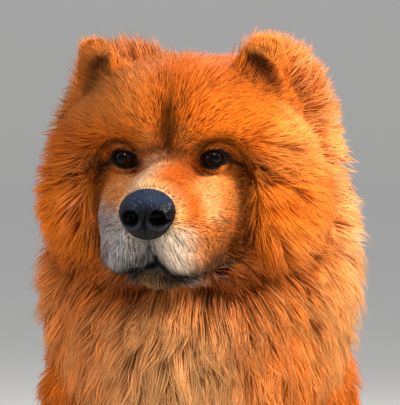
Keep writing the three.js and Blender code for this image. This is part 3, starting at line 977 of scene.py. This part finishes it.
def grow(roots, normal):
    """The path of the tuft at each root, from the lie and the length of the hair there."""
    n = len(roots)
    w = weights(groups(roots, 1), HAIR_BLEND)
    q = to_head(roots)
    flow = flow_at(roots, w)
    lean = smooth_noise(roots, 55, 3) * 0.26 + smooth_noise(roots, 17, 4) * 0.10
    lean += w["ruff"] * smooth_noise(roots, 34, 5) * 0.22
    lean *= 1 - w["head"] * bump(q[:, 0], 16)
    flow = flow + np.cross(normal, flow) * lean[:, None]
    flow += RANDOM.normal(size=(n, 3)) * 0.09
    along = unit(flow - normal * (flow * normal).sum(1)[:, None])
    long = coat_length(roots, w) * (1 + 0.17 * RANDOM.normal(size=n).clip(-2, 2))
    depth = np.clip(-coat_grid(roots), 0.6, None)
    lift = (1 - 0.75 * snout_share(q) * w["head"]) * (1 - 0.85 * (1 - eye_clear(q)) * w["head"])
    height = np.clip(depth * lift, 0.7, 0.82 * long) * RANDOM.uniform(0.62, 1.12, n)
    height = np.minimum(height, 0.93 * long)
    run = np.sqrt(np.maximum(long**2 - height**2, 0))
    tip = roots + along * run[:, None] + normal * height[:, None]
    wild = 10.0 * RANDOM.random(n) ** 5 * np.clip(long / 40, 0, 1)
    limit = wild - depth * RANDOM.uniform(0.0, 0.22, n)
    for _ in range(3):
        over = coat_grid(tip) - limit
        tip -= coat_grid.slope(tip) * np.clip(over, 0, 45)[:, None]
    flat = tip - roots
    rise = (flat * normal).sum(1)
    flat = flat - normal * rise[:, None]
    bend = 0.035 * RANDOM.normal(size=n) + 0.10 * smooth_noise(roots, 26, 6) * np.clip(long / 60, 0, 1)
    wave = np.cross(normal, along) * (long * bend)[:, None]

    def at(t, some):
        lifted = normal[some] * (rise[some] * (1 - (1 - t) ** 1.7))[:, None]
        return roots[some] + flat[some] * t**1.15 + lifted + wave[some] * (t * (1 - t) * 4)

    return {"root": roots, "normal": normal, "long": long, "w": w, "at": at, "tip": tip}


def clump(strand, every, pull):
    """Draws the tips of neighbouring tufts together into locks."""
    n = len(strand["root"])
    centres = RANDOM.choice(n, max(n // every, 8), replace=False)
    owner = centres[nearest(strand["root"], strand["root"][centres])]
    strand["owner"] = owner
    gap = length(strand["root"][owner] - strand["root"])
    close = gap < 0.8 * strand["long"]
    strand["pull"] = (strand["tip"][owner] - strand["tip"]) * (pull * close)[:, None]


def push_out(p, margin):
    """Keeps the tufts from passing through the skin."""
    short = np.maximum(margin - skin_grid(p), 0)
    return p + skin_grid.slope(p) * short[:, None]


BENT_TRIANGLES, STRAIGHT_TRIANGLES, PIECE_TRIANGLES = 12, 6, 190000
UV_PATCH = 0.003


def tuft_mesh(name, strand, some, bent, material):
    """One coat piece: a thin three-sided blade, with one joint or two, at each chosen root."""
    root, normal, long = strand["root"][some], strand["normal"][some], strand["long"][some]
    stops = (0.0, 0.36, 0.72, 1.0) if bent else (0.0, 0.45, 1.0)
    spots = []
    for t in stops:
        s = strand["at"](t, some) + strand["pull"][some] * t**1.8
        if t > 0:
            s = push_out(s, np.minimum(0.12 * long * t, 2.0) + 0.2)
        spots.append(s)
    spots[0] = root - normal * 0.4
    across = unit(np.cross(spots[-1] - root, normal))
    width = strand["width"][some]
    n, rings = len(root), len(stops) - 2
    verts = np.zeros((n, 2 + 3 * rings, 3))
    verts[:, 0] = spots[0]
    verts[:, -1] = spots[-1]
    sizes = (1.0, 0.72) if rings == 2 else (1.0,)
    for k in range(rings):
        middle, w = spots[k + 1], (width * sizes[k] / 2)[:, None]
        ahead = spots[k + 2] - spots[k]
        up = unit(np.cross(across, ahead))
        up *= np.sign((up * normal).sum(1))[:, None]
        verts[:, 1 + 3 * k] = middle + across * w
        verts[:, 2 + 3 * k] = middle - across * w
        verts[:, 3 + 3 * k] = middle + up * w * 0.55
    faces = [(0, 2, 1), (0, 3, 2), (0, 1, 3)]
    for k in range(rings - 1):
        a, b = 1 + 3 * k, 4 + 3 * k
        for i, j in ((0, 1), (1, 2), (2, 0)):
            faces += [(a + i, a + j, b + i), (a + j, b + j, b + i)]
    a, last = 1 + 3 * (rings - 1), 1 + 3 * rings
    faces += [(a, a + 1, last), (a + 1, a + 2, last), (a + 2, a, last)]
    faces = np.array(faces)
    size = verts.shape[1]
    verts[..., 2] = np.maximum(verts[..., 2], 0.3)
    tris = (np.arange(n)[:, None, None] * size + faces[None]).reshape(-1, 3)
    share = np.array([0.0] + [stops[k + 1] for k in range(rings) for _ in range(3)] + [1.0])
    along = share[None, :, None]
    tint = strand["root_tint"][some][:, None] * (1 - along) + strand["tip_tint"][some][:, None] * along
    # Each tuft is painted darker towards its root, as painted shade deep in the coat.
    painted_root_shade = 0.5 if bent else 0.66
    shade = painted_root_shade + (1 - painted_root_shade) * np.clip(share / 0.55, 0, 1)
    tint = tint * shade[None, :, None]
    corner = [(0.5 * s, 0.5 * (i - 1)) for s in share[1:-1:3] for i in range(3)]
    corner = np.array([(0, 0)] + corner + [(1, 0)])
    patch = strand["uv"][some][:, None] + corner[None] * UV_PATCH
    verts, tint, patch = verts.reshape(-1, 3), tint.reshape(-1, 3), patch.reshape(-1, 2)
    return mesh_object(name, to_frame(verts), tris, tint, patch, material)


def mesh_object(name, verts, tris, tint, uv, material):
    """A mesh from arrays, with a painted colour and a map for each vertex where they are given."""
    mesh = bpy.data.meshes.new(name)
    mesh.vertices.add(len(verts))
    mesh.vertices.foreach_set("co", verts.astype(np.float32).ravel())
    mesh.loops.add(3 * len(tris))
    mesh.loops.foreach_set("vertex_index", tris.astype(np.int32).ravel())
    mesh.polygons.add(len(tris))
    mesh.polygons.foreach_set("loop_start", np.arange(0, 3 * len(tris), 3, dtype=np.int32))
    mesh.polygons.foreach_set("use_smooth", np.ones(len(tris), dtype=bool))
    mesh.update(calc_edges=True)
    if tint is not None:
        layer = mesh.color_attributes.new("Tint", "FLOAT_COLOR", "POINT")
        rgba = np.concatenate((tint, np.ones((len(tint), 1))), 1)
        layer.data.foreach_set("color", rgba.astype(np.float32).ravel())
    if uv is not None:
        layer = mesh.uv_layers.new(name="OFBake")
        layer.data.foreach_set("uv", uv[tris.ravel()].astype(np.float32).ravel())
    mesh.validate()
    mesh.materials.append(material)
    ob = bpy.data.objects.new(name, mesh)
    bpy.context.collection.objects.link(ob)
    return ob


def unwrap(p, w):
    """Each part of the body has its own field of the map, wrapped round its length."""
    q = to_head(p)
    part = strongest(w)
    uv = np.zeros((len(p), 2))

    def wrap(mask, x, z, along, ends, corner, size):
        s = (np.arctan2(x, z) / math.tau + 0.5) % 1
        t = np.clip((along - ends[0]) / (ends[1] - ends[0]), 0, 1)
        uv[mask] = (np.stack((s, t), 1) * size + corner)[mask]

    x, y, z = p.T
    wrap(part == "head", q[:, 0], q[:, 2] + 25, q[:, 1], (-100, 150), (0.0, 0.55), (0.5, 0.44))
    wrap(part == "ruff", x, -y - 60, z, (300, 720), (0.5, 0.55), (0.49, 0.44))
    wrap(part == "trunk", x, z - 385, y, (-220, 400), (0.0, 0.3), (0.5, 0.24))
    wrap(part == "tail", x - 14, z - 560, y, (60, 400), (0.5, 0.3), (0.49, 0.24))
    for i, side in enumerate((1, -1)):
        e = to_ear(q, side)
        mine = (part == "ear") & (x * side > -27 * side)
        wrap(mine, e[:, 0], e[:, 1], e[:, 2], (-30, 70), (0.12 * i, 0.02), (0.115, 0.25))
        for j, (leg, back, shift) in enumerate((("fore", 0, 8), ("hind", 290, -12))):
            mine = (part == leg) & (x * side > 0)
            corner = (0.25 + 0.18 * (2 * j + i), 0.02)
            wrap(mine, x - side * 88, y - back - side * shift, z, (0, 440), corner, (0.175, 0.25))
    return uv


# Materials
def set_sockets(node, **values):
    """Sets a node's own sockets, with _ for each space in a socket's name."""
    for key, value in values.items():
        node.inputs[key.replace("_", " ")].default_value = value
    return node


def add_node(tree, kind, **values):
    return set_sockets(tree.nodes.new(kind), **values)


def material(name, **values):
    mat = bpy.data.materials.new(name)
    mat.use_nodes = True
    set_sockets(mat.node_tree.nodes["Principled BSDF"], **values)
    return mat


def tinted(mat, scale, low, high, stretch=(1, 1, 1)):
    """Gives a material the painted colour, varied a little by noise."""
    tree = mat.node_tree
    link = tree.links.new
    tint = tree.nodes.new("ShaderNodeAttribute")
    tint.attribute_name = "Tint"
    place = tree.nodes.new("ShaderNodeTexCoord")
    spread = add_node(tree, "ShaderNodeMapping", Scale=stretch)
    noise = add_node(tree, "ShaderNodeTexNoise", Scale=scale, Detail=3)
    ramp = add_node(tree, "ShaderNodeMapRange", From_Min=0.3, From_Max=0.7, To_Min=low, To_Max=high)
    mix = tree.nodes.new("ShaderNodeVectorMath")
    mix.operation = "SCALE"
    link(place.outputs["Object"], spread.inputs["Vector"])
    link(spread.outputs["Vector"], noise.inputs["Vector"])
    link(noise.outputs["Fac"], ramp.inputs["Value"])
    link(tint.outputs["Color"], mix.inputs[0])
    link(ramp.outputs["Result"], mix.inputs["Scale"])
    link(mix.outputs["Vector"], tree.nodes["Principled BSDF"].inputs["Base Color"])
    return noise


def grained(mat, height, strength, depth):
    """Raises a material's surface by a node's output."""
    tree = mat.node_tree
    lift = add_node(tree, "ShaderNodeBump", Strength=strength, Distance=depth)
    tree.links.new(height, lift.inputs["Height"])
    tree.links.new(lift.outputs["Normal"], tree.nodes["Principled BSDF"].inputs["Normal"])


def fur_material(name):
    mat = material(
        name, Roughness=0.62, Specular_IOR_Level=0.06, Sheen_Weight=0.015, Sheen_Roughness=0.4
    )
    tinted(mat, 60, 0.86, 1.14)
    return mat


def skin_material():
    mat = material("skin", Roughness=0.6, Specular_IOR_Level=0.08)
    noise = tinted(mat, 420, 0.7, 1.15, (1, 1, 0.35))
    grained(mat, noise.outputs["Fac"], 0.5, 0.0006)
    return mat


def nose_material():
    mat = material(
        "nose_skin", Roughness=0.38, Specular_IOR_Level=0.08, Coat_Weight=0.2, Coat_Roughness=0.18
    )
    tinted(mat, 300, 0.8, 1.25)
    cells = add_node(mat.node_tree, "ShaderNodeTexVoronoi", Scale=420)
    grained(mat, cells.outputs["Distance"], 1.0, 0.0014)
    return mat


# Build: skin
SKIN_CELL, COAT_CELL, NOSE_CELL = 6.0, 8.0, 0.8
skin_grid = Sampled(skin_field, (-190, -340, -8), (190, 420, 730), SKIN_CELL)
coat_grid = Sampled(coat_field, (-250, -400, -30), (250, 480, 800), COAT_CELL)
skin_verts, skin_tris = make_skin()
skin_normals = vertex_normals(skin_verts, skin_tris)
skin_w = weights(groups(skin_verts, 1))
skin_tint = markings_and_painted_light(skin_verts, skin_w) * 0.8
skin_uv = unwrap(skin_verts, skin_w)
skin = mesh_object("skin", to_frame(skin_verts), skin_tris, skin_tint, skin_uv, skin_material())
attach(skin, "root")
flesh = ["head", "muzzle", "lower_jaw", "neck", "trunk", "tail_root", "tail_curl", "tail_tip"]
for name in ("left", "right"):
    flesh += [f"{part}_{name}" for part in (
        "ear", "foreleg_upper", "foreleg_lower", "forepaw", "hindleg_thigh", "hindleg_hock", "hindpaw")]
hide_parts(*flesh)


# Build: coat
SOLE_HEIGHT, COVER, LOCK_SIZE, FEWEST_TUFTS = 3, 0.62, 22, 8
LONG_IN_VIEW, LONG_ELSEWHERE = 34, 66


def bare(p):
    """Where no hair grows: nose, lids, lips and soles."""
    q = to_head(p)
    x, y, z = q.T
    m = mirrored(q)
    tilt, along, _ = lid_place(m)
    lids = (np.hypot(along / 12.4, tilt / 8.0) < 1) & (length(m - np.array(EYE)) < 17)
    nose = (y < -62) & (np.hypot(x / 23, (z + 38) / 19) < 1)
    mouth, middle = mouth_place(q)
    lips = near_line(mouth, MOUTH, 2.6) > 0.4
    gape = np.hypot(middle / 10, (z + 90) / 4.5) < 1
    soles = p[:, 2] < SOLE_HEIGHT
    return lids | nose | (lips | gape) & (y < 4) | soles


def density(p):
    w = weights(groups(p, 1), HAIR_BLEND)
    long = coat_length(p, w)
    return coat_layers(p, w) / (long * coat_width(p, w, long) * COVER) * ~bare(p)


def colour_coat(strand):
    """Each tuft's colour at its root and its tip, with locks and single hairs that differ."""
    roots, w = strand["root"], strand["w"]
    q = to_head(roots)
    (x, y, z), many = q.T, len(roots)
    lock_shade = RANDOM.normal(size=many)[strand["owner"]] * (0.08 + 0.14 * w["ruff"])
    own_shade = RANDOM.normal(size=many) * (0.13 + 0.10 * snout_share(q) * w["head"])
    shade = np.exp(lock_shade + own_shade)[:, None]
    base = markings_and_painted_light(roots, w) * shade
    tip = markings_and_painted_light(strand["tip"], w) * shade
    pale = 0.01 + 0.05 * RANDOM.random(many) + 0.2 * w["tail"]
    pale += w["ruff"] * (0.03 + 0.62 * RANDOM.random(many) ** 2.6)
    pale *= np.clip(tip[:, 0] / 0.35, 0, 1) ** 1.5
    tip = blend(tip * 1.04, PEACH, np.clip(pale, 0, 0.8))
    in_front = (z < -46) & (y < -26) & (w["head"] > 0.5)
    odd = RANDOM.random(many)
    dark_hair = (odd < 0.18) & in_front
    base[dark_hair] *= 0.2
    tip[dark_hair] *= 0.2
    lip_near = near_line(mouth_place(q)[0], [(u, v - 8) for u, v in MOUTH[3:]], 9.0) > 0.35
    lip_near &= (y < 6) & (x > 8) & (strand["long"] < 17)
    under_nose = (np.abs(x + 4) < 16) & (np.abs(z + 70) < 14) & (y < -50)
    tip[(odd > 0.66) & lip_near | (odd > 0.8) & under_nose] = ASH
    return base, tip


def coat_regions(strand):
    """Which tufts make up each piece of the coat, and the piece's material slot."""
    part = strongest(strand["w"])
    on_muzzle = (part == "head") & (snout_share(to_head(strand["root"])) > 0.5)
    return {
        "coat_muzzle": (on_muzzle, "muzzle_fur"),
        "coat_face": ((part == "head") & ~on_muzzle, "red_fur"),
        "coat_ears": (part == "ear", "red_fur"),
        "coat_ruff": (part == "ruff", "red_fur"),
        "coat_back": (part == "trunk", "red_fur"),
        "coat_forelegs": (part == "fore", "red_fur"),
        "coat_hindlegs": (part == "hind", "red_fur"),
        "coat_tail": (part == "tail", "pale_fur"),
    }


roots, root_normals = scatter(skin_verts, skin_tris, skin_normals, density)
hairy = ~bare(roots)
strand = grow(roots[hairy], root_normals[hairy])
roots = strand["root"]
strand["width"] = coat_width(roots, strand["w"], strand["long"]) * RANDOM.uniform(0.75, 1.25, len(roots))
pull = np.interp(strand["long"], (8, 20, 50, 80), (0.08, 0.22, 0.5, 0.7))
clump(strand, LOCK_SIZE, pull * (1 - 0.6 * step(roots[:, 2], 590, 650)))
strand["root_tint"], strand["tip_tint"] = colour_coat(strand)
strand["uv"] = unwrap(roots, strand["w"])
coat_materials = {name: fur_material(name) for name in ("red_fur", "pale_fur", "muzzle_fur")}
seen_often = (roots[:, 1] < 20) & (roots[:, 2] > 260)
bent = ((strand["long"] > LONG_IN_VIEW) & seen_often) | (strand["long"] > LONG_ELSEWHERE)
for region, (mask, slot) in coat_regions(strand).items():
    for kind, is_bent, triangles in (("long", True, BENT_TRIANGLES), ("short", False, STRAIGHT_TRIANGLES)):
        chosen = np.flatnonzero(mask & (bent == is_bent))
        if len(chosen) < FEWEST_TUFTS:
            continue
        pieces = math.ceil(len(chosen) * triangles / PIECE_TRIANGLES)
        order = chosen[np.argsort(roots[chosen, 0], kind="stable")]
        for i, some in enumerate(np.array_split(order, pieces)):
            ob = tuft_mesh(f"{region}_{kind}_{i + 1}", strand, some, is_bent, coat_materials[slot])
            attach(ob, "root")


# Build: eyes
def eye_object(side):
    """An eyeball with a raised front, painted round its line of sight."""
    name = "left" if side > 0 else "right"
    rings, sides = 40, 64
    theta = np.linspace(0, math.pi, rings + 1)[1:-1]
    phi = np.arange(sides) * math.tau / sides
    gaze = np.array((side * 0.10, -1.0, 0.03))
    gaze /= length(gaze)
    up = np.array((0, 0, 1.0)) - gaze * gaze[2]
    up /= length(up)
    right = np.cross(gaze, up)
    dirs = [gaze]
    for t in theta:
        for f in phi:
            aside = up * math.cos(f) + right * math.sin(f)
            dirs.append(gaze * math.cos(t) + aside * math.sin(t))
    dirs = np.array(dirs + [-gaze])
    cosine = dirs @ gaze
    bulge = 1 + 0.035 * step(cosine, 0.78, 0.96)
    centre = np.array((side * EYE_X, EYE_Y, 0))
    verts = from_head(centre + dirs * EYE_RADIUS * bulge[:, None])
    tris = []
    last = 1 + (len(theta) - 1) * sides
    for j in range(sides):
        k = (j + 1) % sides
        tris += [(0, 1 + k, 1 + j), (len(dirs) - 1, last + j, last + k)]
        for a in range(1, last, sides):
            b = a + sides
            tris += [(a + j, a + k, b + j), (a + k, b + k, b + j)]
    angle = np.degrees(np.arccos(np.clip(cosine, -1, 1)))
    spoke = 1 + 0.25 * np.sin(np.arctan2(dirs @ right, dirs @ up) * 23)
    # The iris is painted lighter below and darker above, as painted light falling in under the upper lid.
    iris = srgb(38, 17, 8)[None] * (spoke * (0.7 + 0.5 * step(-dirs @ up, -0.2, 0.6)))[:, None]
    white = srgb(36, 26, 24)[None] * np.ones((len(dirs), 1))
    inner = step(-angle, -58, -50)
    tint = iris * inner[:, None] + white * (1 - inner)[:, None]
    tint = tint * (1 - 0.97 * step(-angle, -27, -22))[:, None]
    tint *= (1 - 0.8 * bump(angle - 54, 6))[:, None]
    mat = material(
        f"eye_{name}", Roughness=0.08, Specular_IOR_Level=0.05, Coat_Weight=0.17, Coat_Roughness=0.03
    )
    tinted(mat, 900, 0.85, 1.15)
    ob = mesh_object(f"eyeball_{name}", to_frame(verts), np.array(tris)[:, ::-1], tint, None, mat)
    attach(ob, "root")
    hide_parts(f"eye_{name}")


for side in (1, -1):
    eye_object(side)


# Build: nose
def nose_field(q):
    m = mirrored(q)
    bulb = ball(q, (0, -78, -34), (22, 15, 15.5))
    wings = ball(m, (13, -81, -40), (12, 14, 13))
    pad = ball(q, (0, -82, -51), (18, 11, 12))
    whole = melt(6, bulb, wings, pad)
    holes = ball(m, (NOSTRIL_X, -98, NOSTRIL_Z), (7.6, 15, 7.4))
    slit = ball(m, (20, -91, -46), (6, 7, 2.6))
    rim = length(m[:, (0, 2)] - np.array((NOSTRIL_X, NOSTRIL_Z))) - 8.6
    whole = whole - 0.7 * bump(rim, 1.3) * step(-q[:, 1], 80, 86)
    whole = press(1.6, whole, melt(2.5, holes, slit))
    groove = 1.9 * bump(q[:, 0], 1.4) * step(-q[:, 2], 38, 48) * step(-q[:, 1], 84, 90)
    return whole + groove + pebbles(q)


def pebbles(q):
    """Small round grains over the leather."""
    across, up, deep = 2.3 * q[:, 0], 2.3 * q[:, 2], 2.3 * q[:, 1]
    grain = np.sin(across + 0.9 * np.sin(up)) * np.sin(up + 0.8 * np.sin(deep))
    return 0.3 * (grain + 0.6 * np.sin(deep + 0.4 * across))


def nose_colour(q):
    """Black below, a painted blue-grey reflection of the sky on top, painted shade deep in the nostrils and
    a paler painted reflection on their lower rims.
    """
    m, z = mirrored(q), q[:, 2]
    nostril = np.array((NOSTRIL_X, -87, NOSTRIL_Z))
    # The nostrils are painted darker deep inside, as painted shade in their hollows.
    deep = bump(length((m - nostril) / np.array((1, 1.5, 1))), 7.5)
    # The blue-grey on the upper nose is a painted reflection of the sky.
    tint = painted(srgb(6, 5, 6), (srgb(56, 72, 100), step(z, -40, -24))) * (1 - 0.93 * deep[:, None])
    # The nostrils' lower rims get a paler blue-grey, a painted reflection.
    rims = length(m[:, (0, 2)] - np.array((NOSTRIL_X, NOSTRIL_Z - 1))) - 9.4
    return painted(tint, (srgb(84, 92, 108), 0.5 * bump(rims, 1.1) * step(-z, 42, 49)))


nose_grid = Sampled(nose_field, (-30, -104, -68), (30, -58, -12), NOSE_CELL)
nose_verts, nose_tris = largest_piece(*surface_net(nose_grid))
nose_verts = settle(nose_field, nose_verts, 2)
nose_place, nose_tint = to_frame(from_head(nose_verts)), nose_colour(nose_verts)
nose = mesh_object("nose_leather", nose_place, nose_tris, nose_tint, None, nose_material())
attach(nose, "root")
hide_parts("nose")


# Build: claws and whiskers
def tube(points, radii, sides=8):
    """A closed round tube along points, with a flat cap at each end."""
    points = np.array(points, float)
    verts, tris = [], []
    ahead = np.gradient(points, axis=0)
    ahead /= length(ahead)[:, None]
    side = np.cross(ahead, (0.0, 0.3, 1.0))
    side /= length(side)[:, None]
    up = np.cross(side, ahead)
    for c, s, u, r in zip(points, side, up, radii):
        for k in range(sides):
            f = k * math.tau / sides
            verts.append(c + (s * math.cos(f) + u * math.sin(f)) * r)
    for i in range(len(points) - 1):
        for k in range(sides):
            a, b = i * sides + k, i * sides + (k + 1) % sides
            tris += [(a, b, a + sides), (b, b + sides, a + sides)]
    for end, flip in ((0, 1), (len(points) - 1, -1)):
        verts.append(points[end])
        for k in range(sides):
            a, b = end * sides + k, end * sides + (k + 1) % sides
            tris.append((len(verts) - 1, b, a)[::flip])
    return np.array(verts), np.array(tris)


def joined_mesh(parts):
    """Many small meshes as one."""
    verts, tris, start = [], [], 0
    for v, t in parts:
        verts.append(v)
        tris.append(t + start)
        start += len(v)
    return np.concatenate(verts), np.concatenate(tris)


CLAW_REACH, CLAW_HEIGHT = 44, 15
claws, nails = [], []
for side in (1, -1):
    for kind, joints in (("fore", fore_joints(side)), ("hind", hind_joints(side))):
        x, y, _ = joints["toes"]
        for i, (across, back) in enumerate(TOES):
            cx, cy, cz = x + across, y - CLAW_REACH + back, CLAW_HEIGHT
            curve = ((1, 4), (-5, 2.5), (-10, -2.5), (-13, -8))
            claws.append(tube([(cx, cy + v, cz + w) for v, w in curve], (3.2, 3.0, 2.2, 0.5)))
            nails.append(f"{kind}_claw_{'left' if side > 0 else 'right'}_{i + 1}")
claw_verts, claw_tris = joined_mesh(claws)
claw_material = material("claw_horn", Roughness=0.35)
tinted(claw_material, 500, 0.8, 1.2)
claw_tint = np.tile(srgb(58, 44, 36), (len(claw_verts), 1))
claw = mesh_object("claws", to_frame(claw_verts), claw_tris, claw_tint, None, claw_material)
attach(claw, "root")
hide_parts(*nails)

WHISKER_X = 47.0
WHISKER_ROOTS = ((-54, -52), (-46, -59), (-56, -66), (-40, -50), (-38, -66))
whiskers = []
for side in (1, -1):
    for y, z in WHISKER_ROOTS:
        start = np.array((side * WHISKER_X, y, z + RANDOM.uniform(-2, 2)))
        hit = settle(skin_field, from_head(start)[None], 4)[0]
        start = to_head(hit[None])[0]
        reach = RANDOM.uniform(24, 38)
        path = []
        for t in np.linspace(0, 1, 7):
            path.append(start + reach * t * np.array((side * 0.72, 0.62 + 0.2 * t, 0.12 - 0.55 * t)))
        whiskers.append(tube(from_head(np.array(path)), np.linspace(0.26, 0.07, 7), 5))
whisker_verts, whisker_tris = joined_mesh(whiskers)
whisker_material = material("whisker_hair", Roughness=0.5, Specular_IOR_Level=0.1)
tinted(whisker_material, 200, 0.8, 1.2)
whisker_tint = np.tile(srgb(46, 30, 22), (len(whisker_verts), 1))
whisker = mesh_object(
    "whiskers", to_frame(whisker_verts), whisker_tris, whisker_tint, None, whisker_material
)
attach(whisker, "root")

# Stage, lights and camera
FLOOR_REACH, FLOOR_HEIGHT = 40, -0.0005
corners = [(x * FLOOR_REACH, y * FLOOR_REACH, FLOOR_HEIGHT) for x, y in ((-1, -1), (1, -1), (1, 1), (-1, 1))]
floor_tris = np.array([(0, 1, 2), (0, 2, 3)])
floor_material = material("floor", Roughness=0.9, Base_Color=(0.84, 0.835, 0.825, 1))
floor = mesh_object("floor", np.array(corners), floor_tris, None, None, floor_material)

world = bpy.data.worlds.new("studio")
bpy.context.scene.world = world
world.use_nodes = True
sky, joins = world.node_tree.nodes, world.node_tree.links
direction = sky.new("ShaderNodeTexCoord")
height = sky.new("ShaderNodeSeparateXYZ")
fade = add_node(world.node_tree, "ShaderNodeMapRange", From_Min=0.0, From_Max=0.35)
shades = sky.new("ShaderNodeMix")
shades.data_type = "RGBA"
shades.inputs["A"].default_value = (0.8, 0.8, 0.79, 1)
shades.inputs["B"].default_value = (0.92, 0.93, 0.94, 1)
joins.new(direction.outputs["Generated"], height.inputs["Vector"])
joins.new(height.outputs["Z"], fade.inputs["Value"])
joins.new(fade.outputs["Result"], shades.inputs["Factor"])
joins.new(shades.outputs["Result"], sky["Background"].inputs["Color"])
sky["Background"].inputs["Strength"].default_value = 0.45


def area_light(name, place, target, size, power, colour):
    """A soft lamp at a place, in metres, facing its target."""
    data = bpy.data.lights.new(name, "AREA")
    data.shape = "RECTANGLE"
    data.size, data.size_y = size
    data.energy = power
    data.color = colour
    ob = bpy.data.objects.new(name, data)
    bpy.context.collection.objects.link(ob)
    ob.location = place
    ob.rotation_euler = (Vector(target) - Vector(place)).to_track_quat("-Z", "Y").to_euler()


head_place = to_frame(EYE_MIDDLE)
look = (float(head_place[0]), float(head_place[1]), 0.5)
area_light("key", (1.5, -0.9, 1.7), look, (0.6, 0.6), 74, (1.0, 0.95, 0.86))
area_light("rim", (0.8, 1.2, 1.9), look, (0.8, 0.6), 42, (1.0, 0.93, 0.82))
area_light("top", (-0.25, -1.6, 1.8), look, (0.42, 0.42), 18, (0.94, 0.97, 1.0))
area_light("side", (-2.2, 0.2, 1.2), look, (1.2, 1.2), 8, (1.0, 0.95, 0.88))

CAMERA_DISTANCE, CAMERA_RISE, CAMERA_DIP = 1800.0, 5, 1.45
FOCAL_PIXELS, LONG_SIDE, SENSOR = 1980.0, 405, 36
camera_data = bpy.data.cameras.new("camera")
camera_data.sensor_width = SENSOR
camera_data.lens = SENSOR * FOCAL_PIXELS / LONG_SIDE
camera = bpy.data.objects.new("camera", camera_data)
bpy.context.collection.objects.link(camera)
eye_y, eye_z = EYE_MIDDLE[1:]
camera.location = to_frame(np.array((0.0, eye_y - CAMERA_DISTANCE, eye_z + CAMERA_RISE)))
camera.rotation_euler = (math.radians(90 - CAMERA_DIP), 0, 0)
bpy.context.scene.camera = camera
bpy.context.scene.view_settings.view_transform = "Standard"
